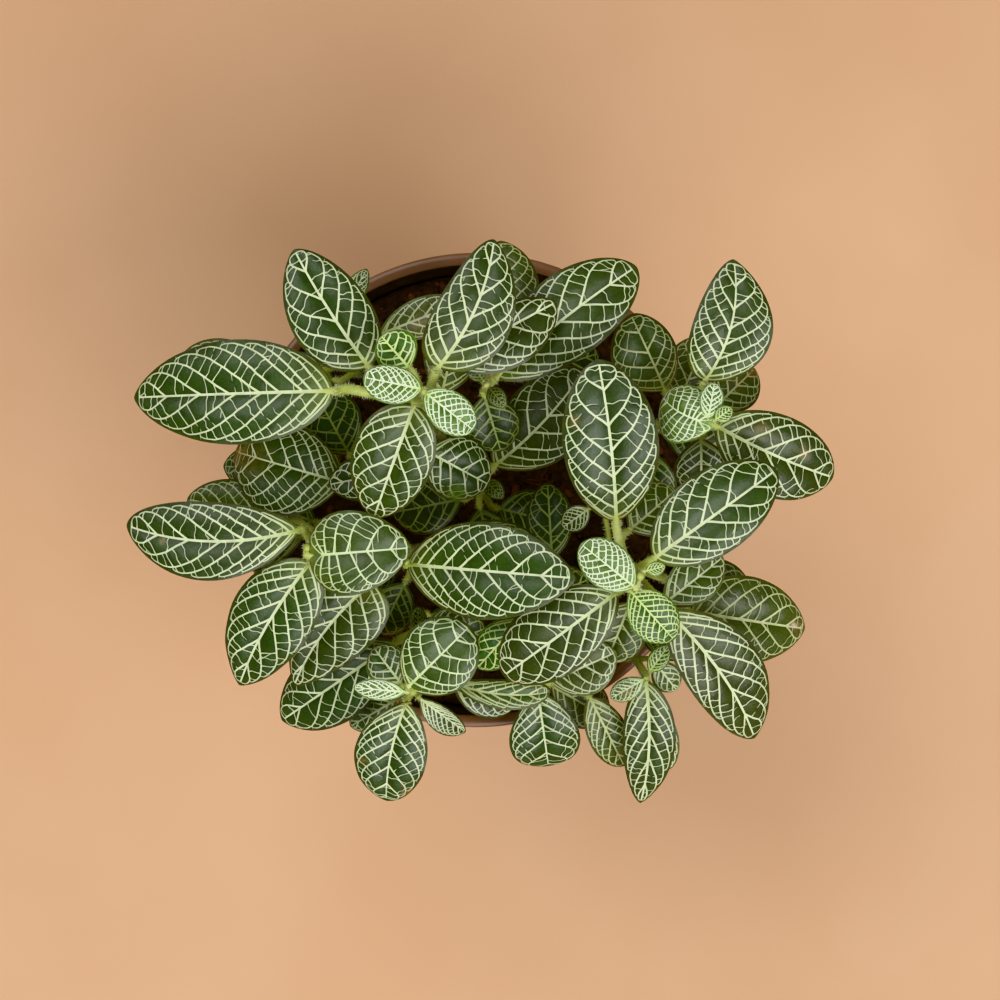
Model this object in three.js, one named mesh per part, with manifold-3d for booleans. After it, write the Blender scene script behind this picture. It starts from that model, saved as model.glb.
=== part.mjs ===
// Potted nerve plant: a nursery pot filled with potting mix, and leafy stems that stand in it.
// Millimetres, +Z up, origin at the centre of the pot's underside, +Y towards the back.
import * as THREE from "three";
import { mergeVertices } from "three/addons/utils/BufferGeometryUtils.js";
import Module from "manifold-3d";

const wasm = await Module();
wasm.setup();

// Pot
const POT_RIM_RADIUS = 52.5;
const POT_HEIGHT = 85;
const POT_WALL = 1.3;
const POT_FLOOR = 1.6;
const POT_BASE_RADIUS = 35;
const POT_BASE_CHAMFER = 1.5;
const POT_BAND_HEIGHT = 17;
const POT_BAND_STEP = 1.4;
const POT_BAND_SLOPE = 0.8;
const POT_BAND_INSET = 1.5;
const POT_LIP_WIDTH = 2.1;
const POT_LIP_HEIGHT = 3;
const POT_LIP_CHAMFER = 0.7;
const POT_SIDES = 40;
const DRAIN_HOLES = 6;
const DRAIN_RADIUS = 3.2;
const DRAIN_RING_RADIUS = 24;
const DRAIN_SIDES = 12;

// Potting mix
const SOIL_TOP = 80;
const SOIL_BUMP = 0.9;
const SOIL_WAVES = [[0.31, 0.12, 0], [-0.14, 0.27, 2], [0.21, -0.24, 4]];
const SOIL_SHOULDER = 1.2;
const SOIL_RINGS = [0.93, 0.7, 0.42, 0.2];
const SOIL_SIDES = 24;
const FACET_ALLOWANCE = 0.15;
const CONTACT_GAP = 0.3;

// Stems and leaf stalks
const STEM_RADIUS = 1.15;
const STEM_FOOT = 58;
const STEM_STRAIGHT_TO = SOIL_TOP + 1;
const STEM_LEAN_POWER = 1.5;
const STEM_SIDES = 6;
const STEM_STEPS = 4;
const STALK_LEAST_RADIUS = 0.35;
const STALK_RADIUS_PER_WIDTH = 0.035;
const STALK_SIDES = 4;
const STALK_STEPS = 3;
const STALK_DROP = 1;
const STALK_SLOPE = 0.45;
const STALK_NECK = 0.25;
const STALK_SINK = 0.6;
const STALK_ROOT = 0.12;
const STALK_BELOW_TOP = 0.8;
const UNION_TOLERANCE = 0.01;

// Leaf blades
const BLADE_THICKNESS = 0.7;
const BLADE_CREST = 0.06;
const BLADE_BOW = 0.06;
const BLADE_PEAK = 0.52;
const BLADE_SLIMNESS = 1.42;
const SMALL_LEAF = 9;
const LARGE_ROWS = [0, 0.12, 0.32, 0.56, 0.82, 1];
const SMALL_ROWS = [0, 0.16, 0.5, 0.82, 1];

// Each stem has a root and a top, then its leaves: blade base, blade tip, width, age and any bends.
// bow lifts the middle of the midrib, cup lifts the margins, sway shifts the middle of the midrib to its
// left, peak is where the blade is widest, a larger slim makes its ends more pointed, and uneven is the
// share by which its left half is the wider one.
const STEMS = {
  "stem_tall": { "root": [-8, 12], "top": [-10, 19.5, 151], "leaves": [
    ["back", [-7.2, 24.4, 147], [4.1, 50.4, 146], 16, "mature",
      {"bow": 2, "sway": -2.2, "peak": 0.38, "slim": 1.1, "uneven": -0.05}],
    ["back_right", [-6.3, 25.4, 143], [16.8, 38.2, 138.5], 12.9, "mature", {"uneven": -0.22}],
    ["young_left", [-10.5, 20, 152], [-22, 22.3, 153], 7.8, "young", {"slim": 1.1, "uneven": 0.08}],
    ["young_right", [-9.7, 19.3, 151], [0, 11.8, 148], 8.3, "young", {"slim": 1.1}],
    ["front", [-12, 17, 145], [-20.7, -6, 133], 16.8, "mature",
      {"bow": 2, "peak": 0.42, "slim": 1.2, "uneven": -0.06}],
    ["far_left", [-28.5, 20, 141], [-70.5, 19, 129], 21.5, "mature",
      {"bow": 3, "peak": 0.45, "slim": 1.25, "uneven": -0.03}],
    ["back_left", [-21.5, 25, 139], [-36.8, 49, 138], 16.8, "mature",
      {"sway": 0.6, "peak": 0.42, "slim": 1.2, "uneven": 0.05}],
    ["bright", [-13, 24.4, 147.5], [-18.6, 30.8, 148.5], 9, "lime", {"slim": 1.2, "uneven": -0.1}],
    ["curled", [-10, 8, 127], [3, 1, 122], 14, "mature", {"cup": -2}],
    ["low_left", [-15, 4, 126], [-30.5, 1, 124], 9.5, "mature", {}],
    ["low_back", [-7, 20, 119], [-3, 37, 112], 12, "old", {}],
  ]},
  "stem_back": { "root": [4, 25], "top": [2.5, 21.5, 136], "leaves": [
    ["right", [4.5, 23, 134], [33.5, 46, 131], 17.4, "mature", {"bow": 2.5, "sway": 0.8, "slim": 1.25}],
    ["back", [6, 30, 129], [5.5, 52, 123], 15.5, "old", {}],
    ["front", [2, 19.5, 125], [5.5, 8, 120], 12, "dim", {}],
    ["low_right", [9, 28, 113], [25, 37.5, 105], 13, "old", {}],
    ["low_foot", [12, 25, 95], [27, 30, 90], 11, "dim", {}],
  ]},
  "stem_middle": { "root": [1, 0], "top": [1.5, 2.5, 115], "leaves": [
    ["right", [4, 5, 114], [23, 25, 123], 17, "mature", {"sway": -1.2}],
    ["low_right", [5, -4, 94], [17, -7, 90], 11.5, "dim", {}],
    ["low_left", [-3, -2, 106], [-18, -5, 101], 12, "dim", {}],
    ["low_front", [1, -4, 98], [4, -17, 94], 11, "dim", {}],
  ]},
  "stem_left_inner": { "root": [-24, 3], "top": [-25.5, 3, 124], "leaves": [
    ["left", [-28, 1.5, 121], [-50.5, 8, 118], 19.5, "mature", {"bow": 1.5, "slim": 1.25, "uneven": 0.08}],
    ["back", [-26.5, 7.5, 117], [-34, 21, 116], 13, "dim", {}],
    ["old_left", [-38, 4, 112], [-53.5, 5, 112], 10.5, "old", {}],
    ["low_left", [-29, 5, 104], [-50, 14, 99], 13, "old", {}],
  ]},
  "stem_back_left": { "root": [-26, 26], "top": [-24, 29.5, 121], "leaves": [
    ["right", [-20, 32.5, 120], [-2.5, 39.3, 121], 8.5, "pale", {}],
    ["back", [-29, 36, 113], [-23, 47, 111], 5, "pale", {}],
    ["left", [-43, 24.5, 116], [-62, 28.5, 114], 10.5, "old", {}],
    ["low_back", [-28, 31, 105], [-34, 45, 100], 11, "old", {}],
    ["low_left", [-31, 24, 94], [-46, 26, 90], 10.5, "dim", {}],
  ]},
  "stem_right": { "root": [27, -13], "top": [33.5, -17.5, 149], "leaves": [
    ["young_left", [32.2, -19.6, 149.5], [21.5, -11, 150], 9.5, "young", {"slim": 1.15}],
    ["young_front", [31.5, -20.5, 148], [40.5, -30.5, 145], 10, "lime", {}],
    ["back", [29, -6.5, 139], [25, 26, 149], 19.5, "mature",
      {"bow": 2, "sway": -0.6, "peak": 0.5, "slim": 1.25}],
    ["back_right", [36.5, -14, 144], [61.5, 4, 142], 17, "mature",
      {"bow": 2, "peak": 0.48, "slim": 1.2, "uneven": 0.07}],
    ["front_left", [29, -21, 142], [6, -38.5, 131], 16.5, "mature",
      {"bow": 2, "slim": 1.2, "uneven": -0.06}],
    ["front_right", [39.5, -25, 140], [58.5, -52, 123], 16, "mature",
      {"bow": 2.5, "sway": 1.8, "peak": 0.48, "slim": 1.3, "uneven": 0.1}],
    ["tiny", [34.5, -16.5, 149], [38.5, -15.5, 149], 3, "lime", {}],
    ["pale_right", [39, -23.5, 134], [51.5, -14, 129], 10, "pale", {}],
    ["far_right", [45, -25.5, 123], [70, -29.5, 113], 18.5, "old", {"bow": 2, "peak": 0.42, "slim": 1.15}],
    ["back_left", [24, -4, 121], [18.5, -8, 118], 5.5, "mature", {}],
    ["low_back", [32.5, -8.5, 121], [42.5, 0, 117], 12, "old", {}],
    ["low_right", [41, -19, 108], [60, -24, 100], 14, "old", {}],
    ["low_front", [33, -24, 112], [28, -37, 107], 12, "old", {}],
  ]},
  "stem_far_right": { "root": [36, 14], "top": [48.5, 13.5, 139], "leaves": [
    ["back", [47.3, 22.2, 136], [53, 47, 138], 16.5, "mature",
      {"sway": -2.6, "peak": 0.42, "slim": 1.25, "uneven": -0.06}],
    ["right", [49.5, 13, 137], [74.5, 2.5, 127], 17, "mature",
      {"bow": 2, "sway": -0.8, "peak": 0.5, "slim": 1.2}],
    ["young_left", [49.2, 13, 140], [38.8, 19, 134], 12.5, "young",
      {"bow": 2.5, "cup": -1.5, "sway": 1.3}],
    ["tiny", [49, 14, 141], [52.5, 16.5, 141], 3.5, "lime", {}],
    ["young_back", [47.7, 14.5, 140.5], [49, 21.7, 139.5], 5, "young", {"slim": 1.2}],
    ["front", [47, 10.5, 128], [47.5, -1, 120], 11.5, "mature", {}],
    ["brown_back", [50, 17, 122], [59, 25.5, 118], 10.5, "old", {}],
    ["back_left", [40, 21, 118], [32.5, 36.5, 125], 14, "old", {"bow": 2, "slim": 1.25, "uneven": 0.16}],
    ["low_right", [46, 11, 114], [64, 5, 106], 14, "old", {}],
    ["low_back", [43, 18, 108], [50, 33, 103], 12, "old", {}],
    ["low_front", [38, 8, 104], [38, -6, 99], 11, "dim", {}],
    ["low_foot", [41, 13, 95], [56, 9, 90], 11, "dim", {}],
  ]},
  "stem_left": { "root": [-29, -10], "top": [-34.5, -12, 132], "leaves": [
    ["right", [-34.1, -13.7, 132], [-13, -12, 135], 17.5, "fresh", {"bow": 2, "peak": 0.4, "slim": 1.1}],
    ["far_left", [-36.5, -8.5, 128], [-73, -7.5, 121], 16.5, "mature", {"bow": 2, "sway": 2.8, "slim": 1.3}],
    ["front", [-34, -15, 127], [-50, -41.5, 113], 17.5, "mature",
      {"bow": 2, "sway": -1.2, "peak": 0.42, "slim": 1.3}],
    ["back_left", [-39, -6.5, 116], [-61, -2, 114], 12.5, "old", {}],
    ["low_left", [-37, -10, 106], [-58, -12, 99], 13, "old", {}],
    ["low_front", [-33, -16, 104], [-43, -31, 97], 12, "old", {}],
    ["low_foot", [-35, -7, 95], [-51, -1, 90], 11, "dim", {}],
  ]},
  "stem_centre": { "root": [-12, -13], "top": [-14, -15, 129], "leaves": [
    ["right", [-14, -15.5, 129], [20.5, -18, 145], 20, "mature", {"bow": 2, "peak": 0.48}],
    ["front_left", [-21.5, -19.5, 119], [-38.7, -42, 108], 17.5, "mature",
      {"bow": 1.5, "sway": -1.8, "peak": 0.33, "slim": 1.25, "uneven": 0.07}],
    ["back_right", [-6, -10.5, 118], [14.5, -13, 115], 11, "dim", {}],
    ["low_right", [-7, -17, 107], [8, -20, 103], 11, "dim", {}],
    ["low_left", [-17, -12, 105], [-27, -22, 99], 11, "dim", {}],
    ["low_front", [-15, -20, 109], [-20.5, -31, 104], 10, "dim", {}],
  ]},
  "stem_front_left_inner": { "root": [-14, -28], "top": [-12, -31, 113], "leaves": [
    ["right", [-10, -29, 112], [-1.5, -29, 112], 8.5, "pale", {}],
    ["far_left", [-17, -32.5, 111], [-42, -50, 98], 16.5, "mature", {"bow": 2}],
    ["low_right", [-10, -27, 102], [2, -32, 98], 10, "dim", {}],
  ]},
  "stem_front_left": { "root": [-10, -38], "top": [-13, -42.5, 120], "leaves": [
    ["back_right", [-14, -41.5, 120], [-1, -28.5, 124], 16.3, "fresh", {"slim": 1.2}],
    ["pale_left", [-15.5, -41, 116.5], [-21.5, -33.5, 113], 9, "pale", {}],
    ["front", [-14.5, -45, 117], [-19, -66.5, 108], 15.5, "mature",
      {"bow": 1.5, "sway": -1, "slim": 1.3}],
    ["small_left", [-14.5, -42.5, 120.5], [-25.5, -41.5, 120], 4.6, "young", {}],
    ["small_right", [-11.5, -44, 118.5], [-2, -51.5, 112], 5.5, "mature", {"uneven": -0.3}],
    ["low_left", [-17, -45, 106.5], [-27, -51, 102], 7.5, "pale", {}],
    ["pale_right", [-5, -41, 112], [16, -43, 112], 6.5, "old", {"sway": -1.4, "peak": 0.6, "slim": 1.2}],
    ["low_right", [-4.5, -42.5, 103], [8, -47.5, 99], 8, "mature", {}],
  ]},
  "stem_front_inner": { "root": [9, -22], "top": [11, -25, 127], "leaves": [
    ["front_left", [10, -26.5, 126], [0.5, -37.6, 118], 9, "lime", {}],
    ["low_back", [16.5, -15, 104], [15.5, 1.5, 103], 10, "dim", {}],
    ["right", [13.5, -23, 120], [24, -19, 117], 10, "dim", {}],
    ["low_right", [13, -26, 108], [25, -30, 103], 11, "dim", {}],
  ]},
  "stem_front": { "root": [13, -38], "top": [13.5, -42, 103], "leaves": [
    ["front", [13.5, -43.5, 101], [15.9, -60.4, 92], 15.5, "mature",
      {"bow": 1.5, "peak": 0.62, "slim": 1.15}],
    ["right", [16, -41.1, 106], [30, -34.6, 111], 12.5, "pale", {}],
    ["low_right", [16.5, -42.5, 97], [29, -50, 91], 11, "old", {}],
  ]},
  "stem_front_right": { "root": [29.5, -27], "top": [36.5, -40, 109], "leaves": [
    ["front", [36.5, -41, 108], [36, -68.5, 92], 11.5, "mature",
      {"bow": 2, "sway": 1.2, "peak": 0.42, "slim": 1.3}],
    ["small_left", [36, -40.4, 110], [29.1, -44.8, 105], 5, "young", {}],
    ["front_left", [24.7, -44.8, 102], [32.4, -60.3, 93], 9, "old", {"slim": 1.15}],
    ["front_right", [38.5, -37, 106], [43.4, -43.2, 102], 6.5, "pale", {}],
    ["back_left", [33, -36, 104], [33, -28.5, 106], 7, "pale", {}],
    ["bright_right", [37.2, -38.9, 109], [41.1, -33.2, 111], 4.5, "lime", {}],
    ["pale_front", [38.5, -45.5, 98], [42.5, -61, 93], 7, "pale", {}],
    ["low_right", [35.5, -30, 95], [49, -34, 90], 10.5, "dim", {}],
  ]},
};

const MATERIALS = {
  pot: new THREE.MeshStandardMaterial({ color: 0x5a3f2c, roughness: 0.42, metalness: 0 }),
  soil: new THREE.MeshStandardMaterial({ color: 0x2a190d, roughness: 0.95, metalness: 0 }),
  plant: new THREE.MeshStandardMaterial({ color: 0x4e6a2a, roughness: 0.5, metalness: 0 }),
};

// A closed geometry becomes a solid that can be joined and cut.
function solid(geometry) {
  const bare = geometry.clone();
  bare.deleteAttribute("normal");
  bare.deleteAttribute("uv");
  const merged = mergeVertices(bare, 1e-4);
  return new wasm.Manifold(new wasm.Mesh({
    numProp: 3,
    vertProperties: new Float32Array(merged.attributes.position.array),
    triVerts: new Uint32Array(merged.index.array),
  }));
}

// The largest body of a union: a sealed pinhole between two blades is a body of its own and is dropped.
function largestBody(manifold) {
  return manifold.decompose().reduce((most, body) => (body.volume() > most.volume() ? body : most));
}

function geometryOf(manifold) {
  const mesh = manifold.getMesh();
  const geometry = new THREE.BufferGeometry();
  geometry.setAttribute("position", new THREE.BufferAttribute(mesh.vertProperties, 3));
  geometry.setIndex(new THREE.BufferAttribute(mesh.triVerts, 1));
  return geometry;
}

function namedMesh(name, manifold, material) {
  const mesh = new THREE.Mesh(geometryOf(manifold).toNonIndexed(), material);
  mesh.geometry.computeVertexNormals();
  mesh.name = name;
  return mesh;
}

// A turned shape about the Z axis, from a closed profile of [radius, height] pairs.
function turned(profile, sides) {
  const points = profile.map(([radius, height]) => new THREE.Vector2(radius, height));
  return new THREE.LatheGeometry(points, sides).rotateX(Math.PI / 2);
}

function tube(points, radius, sides, steps) {
  const section = new THREE.Shape();
  for (let side = 0; side < sides; side += 1) {
    const angle = (2 * Math.PI * side) / sides;
    section.lineTo(radius * Math.cos(angle), radius * Math.sin(angle));
  }
  section.curves.shift();
  section.closePath();
  return new THREE.ExtrudeGeometry(section, { steps, extrudePath: new THREE.CatmullRomCurve3(points) });
}

// The wall's outer radius at a height, below the band that stiffens the rim
function wallRadius(height) {
  const bandRadius = POT_RIM_RADIUS - POT_LIP_WIDTH - POT_BAND_STEP;
  return THREE.MathUtils.lerp(POT_BASE_RADIUS, bandRadius, height / POT_HEIGHT);
}

// The band's inner radius at a height
function bandInner(height) {
  const bandFoot = POT_HEIGHT - POT_BAND_HEIGHT;
  const foot = bandFoot + POT_BAND_SLOPE + POT_WALL;
  const footRadius = wallRadius(bandFoot) + POT_BAND_STEP - POT_WALL;
  const top = POT_HEIGHT - POT_LIP_CHAMFER;
  const topRadius = POT_RIM_RADIUS - POT_LIP_WIDTH - POT_LIP_CHAMFER;
  return THREE.MathUtils.mapLinear(height, foot, top, footRadius, topRadius);
}

function pot() {
  const bandFoot = POT_HEIGHT - POT_BAND_HEIGHT;
  const bandOut = wallRadius(bandFoot) + POT_BAND_STEP;
  const bandTop = POT_RIM_RADIUS - POT_BAND_INSET;
  const lipFoot = POT_HEIGHT - POT_LIP_HEIGHT;
  const inner = (height) => wallRadius(height) - POT_WALL;
  const rimInner = POT_RIM_RADIUS - POT_LIP_WIDTH;
  const shell = solid(turned([
    [0, 0],
    [POT_BASE_RADIUS - POT_BASE_CHAMFER, 0],
    [wallRadius(POT_BASE_CHAMFER), POT_BASE_CHAMFER],
    [wallRadius(bandFoot), bandFoot],
    [bandOut, bandFoot + POT_BAND_SLOPE],
    [bandTop, lipFoot],
    [POT_RIM_RADIUS, lipFoot],
    [POT_RIM_RADIUS, POT_HEIGHT - POT_LIP_CHAMFER],
    [POT_RIM_RADIUS - POT_LIP_CHAMFER, POT_HEIGHT],
    [rimInner, POT_HEIGHT],
    [rimInner - POT_LIP_CHAMFER, POT_HEIGHT - POT_LIP_CHAMFER],
    [bandOut - POT_WALL, bandFoot + POT_BAND_SLOPE + POT_WALL],
    [inner(bandFoot), bandFoot + POT_WALL],
    [inner(POT_FLOOR), POT_FLOOR],
    [0, POT_FLOOR],
  ], POT_SIDES));
  let cut = shell;
  for (let hole = 0; hole < DRAIN_HOLES; hole += 1) {
    const angle = (2 * Math.PI * hole) / DRAIN_HOLES;
    const drill = new THREE.CylinderGeometry(DRAIN_RADIUS, DRAIN_RADIUS, 4 * POT_FLOOR, DRAIN_SIDES);
    drill.rotateX(Math.PI / 2);
    drill.translate(DRAIN_RING_RADIUS * Math.cos(angle), DRAIN_RING_RADIUS * Math.sin(angle), 0);
    cut = cut.subtract(solid(drill));
  }
  return namedMesh("pot", cut, MATERIALS.pot);
}

// A rough top is a sum of a few waves, each with its rate along X, rate along Y and phase.
function soilBump(x, y) {
  const waves = SOIL_WAVES.map(([rateX, rateY, phase]) => Math.sin(rateX * x + rateY * y + phase));
  return (SOIL_BUMP * waves.reduce((sum, wave) => sum + wave)) / SOIL_WAVES.length;
}

// The potting mix fills the pot to within a narrow gap, over the ledge at the band's foot too.
function soil() {
  const gap = CONTACT_GAP + FACET_ALLOWANCE;
  const side = (height) => wallRadius(height) - POT_WALL - gap;
  const floor = POT_FLOOR + CONTACT_GAP;
  const bandFoot = POT_HEIGHT - POT_BAND_HEIGHT;
  const ledge = bandFoot + POT_WALL + CONTACT_GAP;
  const brow = SOIL_TOP - SOIL_SHOULDER;
  const edge = bandInner(brow) - gap;
  const plug = turned([
    [0, floor],
    [side(floor), floor],
    [side(bandFoot), bandFoot],
    [side(bandFoot), ledge],
    [side(bandFoot) + POT_BAND_STEP, ledge + POT_BAND_SLOPE],
    [edge, brow],
    ...SOIL_RINGS.map((share) => [share * edge, SOIL_TOP]),
    [0, SOIL_TOP],
  ], SOIL_SIDES);
  const place = plug.attributes.position;
  for (let i = 0; i < place.count; i += 1) {
    if (place.getZ(i) > SOIL_TOP - SOIL_SHOULDER / 2) {
      place.setZ(i, SOIL_TOP + soilBump(place.getX(i), place.getY(i)));
    }
  }
  let cut = solid(plug);
  for (const stem of Object.values(STEMS)) {
    const radius = STEM_RADIUS + 2 * CONTACT_GAP;
    const depth = 2 * (SOIL_TOP - STEM_FOOT);
    const hole = new THREE.CylinderGeometry(radius, radius, depth, STEM_SIDES).rotateX(Math.PI / 2);
    hole.translate(stem.root[0], stem.root[1], STEM_FOOT - CONTACT_GAP + depth / 2);
    cut = cut.subtract(solid(hole));
  }
  return namedMesh("soil", cut, MATERIALS.soil);
}

// A stem is upright in the soil and leans out more and more towards its top.
function stemPoint(stem, height) {
  const [rootX, rootY] = stem.root;
  const [topX, topY, topZ] = stem.top;
  const rise = Math.max(0, (height - STEM_STRAIGHT_TO) / (topZ - STEM_STRAIGHT_TO));
  const lean = rise ** STEM_LEAN_POWER;
  return new THREE.Vector3(rootX + (topX - rootX) * lean, rootY + (topY - rootY) * lean, height);
}

function stemTube(stem) {
  const points = [STEM_FOOT, STEM_STRAIGHT_TO].map((height) => stemPoint(stem, height));
  for (let step = 1; step <= STEM_STEPS; step += 1) {
    points.push(stemPoint(stem, THREE.MathUtils.lerp(STEM_STRAIGHT_TO, stem.top[2], step / STEM_STEPS)));
  }
  return solid(tube(points, STEM_RADIUS, STEM_SIDES, STEM_STEPS + 2));
}

// A blade's frame: base, chord, side direction and the direction it faces
function bladeFrame([, base, tip, width, , bends]) {
  const start = new THREE.Vector3(...base);
  const chord = new THREE.Vector3(...tip).sub(start);
  const along = chord.clone().normalize();
  const side = new THREE.Vector3(0, 0, 1).cross(along).normalize();
  const up = along.clone().cross(side);
  return { start, chord, along, side, up, width, length: chord.length(), bends };
}

// How wide a blade is along its length, as a share of its greatest width
function outline(t, peak, slimness) {
  const rise = slimness * peak;
  const fall = slimness - rise;
  return (t ** rise * (1 - t) ** fall) / (peak ** rise * (1 - peak) ** fall);
}

// A point on a blade's upper face: t runs from base to tip, v from the right margin to the left.
function bladePoint(frame, t, v) {
  const share = outline(t, frame.bends.peak ?? BLADE_PEAK, frame.bends.slim ?? BLADE_SLIMNESS);
  const arch = 4 * t * (1 - t);
  const bow = (frame.bends.bow ?? BLADE_BOW * frame.length) * arch;
  const cup = (frame.bends.cup ?? 0) * (v * share) ** 2;
  const crest = BLADE_CREST * frame.width * share * (1 - (2 * Math.abs(v) - 1) ** 2);
  const half = (frame.width / 2) * (1 + (frame.bends.uneven ?? 0) * Math.sign(v));
  const sideways = (frame.bends.sway ?? 0) * arch + v * half * share;
  return frame.start.clone()
    .addScaledVector(frame.chord, t)
    .addScaledVector(frame.up, bow + cup + crest)
    .addScaledVector(frame.side, sideways);
}

// A blade has the same triangles on both faces, joined by a strip round the margin.
function blade(leaf) {
  const frame = bladeFrame(leaf);
  const small = leaf[3] < SMALL_LEAF || leaf[0].startsWith("low_");
  const rows = small ? SMALL_ROWS : LARGE_ROWS;
  const columns = small ? [-1, 0, 1] : [-1, -0.5, 0, 0.5, 1];
  const top = rows.map((t) => (t === 0 || t === 1 ? [0] : columns).map((v) => bladePoint(frame, t, v)));
  const drop = frame.up.clone().multiplyScalar(-BLADE_THICKNESS);
  const points = [];
  const indexOf = top.map((row) => row.map((point) => points.push(point) - 1));
  const count = points.length;
  points.slice().forEach((point) => points.push(point.clone().add(drop)));
  const faces = [];
  for (let row = 0; row + 1 < indexOf.length; row += 1) {
    const near = indexOf[row];
    const far = indexOf[row + 1];
    for (let column = 0; column + 1 < Math.max(near.length, far.length); column += 1) {
      if (near.length === 1) {
        faces.push([near[0], far[column], far[column + 1]]);
      } else if (far.length === 1) {
        faces.push([near[column], far[0], near[column + 1]]);
      } else if (column < (columns.length - 1) / 2) {
        faces.push([near[column], far[column], far[column + 1]]);
        faces.push([near[column], far[column + 1], near[column + 1]]);
      } else {
        faces.push([near[column], far[column], near[column + 1]]);
        faces.push([far[column], far[column + 1], near[column + 1]]);
      }
    }
  }
  const rightEdge = indexOf.map((row) => row[0]);
  const leftEdge = indexOf.map((row) => row[row.length - 1]).reverse();
  const loop = [...rightEdge, ...leftEdge.slice(1, -1)];
  const index = [];
  for (const [a, b, c] of faces) {
    index.push(a, b, c, a + count, c + count, b + count);
  }
  loop.forEach((here, i) => {
    const next = loop[(i + 1) % loop.length];
    index.push(here + count, next + count, next, here + count, next, here);
  });
  const geometry = new THREE.BufferGeometry().setFromPoints(points);
  geometry.setIndex(index);
  return solid(geometry);
}

// A stalk leaves the stem below its blade, curves out and ends inside the blade's midrib.
function stalk(stem, leaf) {
  const frame = bladeFrame(leaf);
  const reach = stemPoint(stem, frame.start.z).setZ(0).distanceTo(frame.start.clone().setZ(0));
  const foot = frame.start.z - STALK_DROP - STALK_SLOPE * reach;
  const start = stemPoint(stem, Math.min(foot, stem.top[2] - STALK_BELOW_TOP));
  const sunk = frame.up.clone().multiplyScalar(-STALK_SINK * BLADE_THICKNESS);
  const end = bladePoint(frame, STALK_ROOT, 0).add(sunk);
  const neck = frame.start.clone().addScaledVector(frame.along, -STALK_NECK * reach).add(sunk);
  const join = frame.start.clone().add(sunk);
  const radius = STALK_LEAST_RADIUS + STALK_RADIUS_PER_WIDTH * frame.width;
  return solid(tube([start, neck, join, end], radius, STALK_SIDES, STALK_STEPS));
}

function leafyStem(name, stem) {
  const pieces = [stemTube(stem)];
  for (const leaf of stem.leaves) {
    pieces.push(blade(leaf), stalk(stem, leaf));
  }
  const joined = wasm.Manifold.union(pieces).simplify(UNION_TOLERANCE);
  return namedMesh(name, largestBody(joined), MATERIALS.plant);
}

const plant = new THREE.Group();
plant.name = "plant";
for (const [name, stem] of Object.entries(STEMS)) {
  plant.add(leafyStem(name, stem));
}

const group = new THREE.Group();
group.name = "potted_nerve_plant";
group.add(pot(), soil(), plant);

export default group;
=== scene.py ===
"""Looks of a potted nerve plant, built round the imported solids: pot, potting mix and leafy stems."""

import math
import random

import bpy
import numpy as np
from mathutils import Matrix, Vector, noise
from mathutils.geometry import delaunay_2d_cdt


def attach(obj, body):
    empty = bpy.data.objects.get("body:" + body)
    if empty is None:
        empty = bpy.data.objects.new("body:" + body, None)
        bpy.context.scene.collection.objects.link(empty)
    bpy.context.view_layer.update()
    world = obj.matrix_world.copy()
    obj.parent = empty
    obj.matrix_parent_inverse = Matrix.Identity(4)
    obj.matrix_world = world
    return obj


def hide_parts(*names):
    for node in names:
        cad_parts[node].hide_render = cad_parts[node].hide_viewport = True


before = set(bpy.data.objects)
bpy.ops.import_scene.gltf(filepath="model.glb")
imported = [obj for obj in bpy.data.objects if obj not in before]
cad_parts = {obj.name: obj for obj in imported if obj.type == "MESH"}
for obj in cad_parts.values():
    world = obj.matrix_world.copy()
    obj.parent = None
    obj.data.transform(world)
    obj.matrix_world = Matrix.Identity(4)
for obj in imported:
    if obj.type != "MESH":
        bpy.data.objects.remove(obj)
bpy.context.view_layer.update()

MM = 0.001

# Pot, in millimetres, as in the solids
POT_RIM_RADIUS = 52.5
POT_HEIGHT = 85
POT_WALL = 1.3
POT_FLOOR = 1.6
POT_BASE_RADIUS = 35
POT_TOP_RADIUS = 49
POT_BASE_CHAMFER = 1.5
POT_BAND_FOOT = 68
POT_BAND_STEP = 1.4
POT_BAND_SLOPE = 0.8
POT_LIP_RADIUS = 51
POT_LIP_FOOT = 82
POT_LIP_INNER = 49.7
POT_LIP_CORNER = 0.7
POT_LIP_ROUND = 0.45
POT_SIDES = 160
POT_EDGE_ROUND = 0.22
POT_ROUNDED_FROM = 28
POT_SMOOTH = 40
DRAIN_HOLES = 6
DRAIN_RADIUS = 3.2
DRAIN_RING_RADIUS = 24
DRAIN_SIDES = 32

# Potting mix
SOIL_TOP = 80
SOIL_FOOT = 1.9
SOIL_GAP = 0.45
LEDGE_GAP = 0.3
SOIL_RINGS = 36
SOIL_SHOULDER = 1.2
SOIL_SIDES = 112
SOIL_CORNER = 0.6
SOIL_CENTRE = 0.9
SOIL_SMOOTH = 70
SOIL_WAVES = [[0.31, 0.12, 0], [-0.14, 0.27, 2], [0.21, -0.24, 4]]
SOIL_BUMP = 0.9
CRUMB_SIZE = 2.6
CRUMB_RISE = 1.5
CHIPS = 900
CHIP_FORMS = 4
CHIP_SIZES = (0.5, 1.9)
CHIP_SHAPE = (1.0, 0.62, 0.38)
CHIP_ROUGHNESS = 0.45
CHIP_TILT = 0.5
CHIP_LIFT = 0.12
STRANDS = 420
STRAND_RADIUS = 0.11
STRAND_STEPS = 7
STRAND_STEP = 1.1
STRAND_LIFT = 0.25
STRAND_ARCH = 0.5
STRAND_TURN = 0.5

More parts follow.
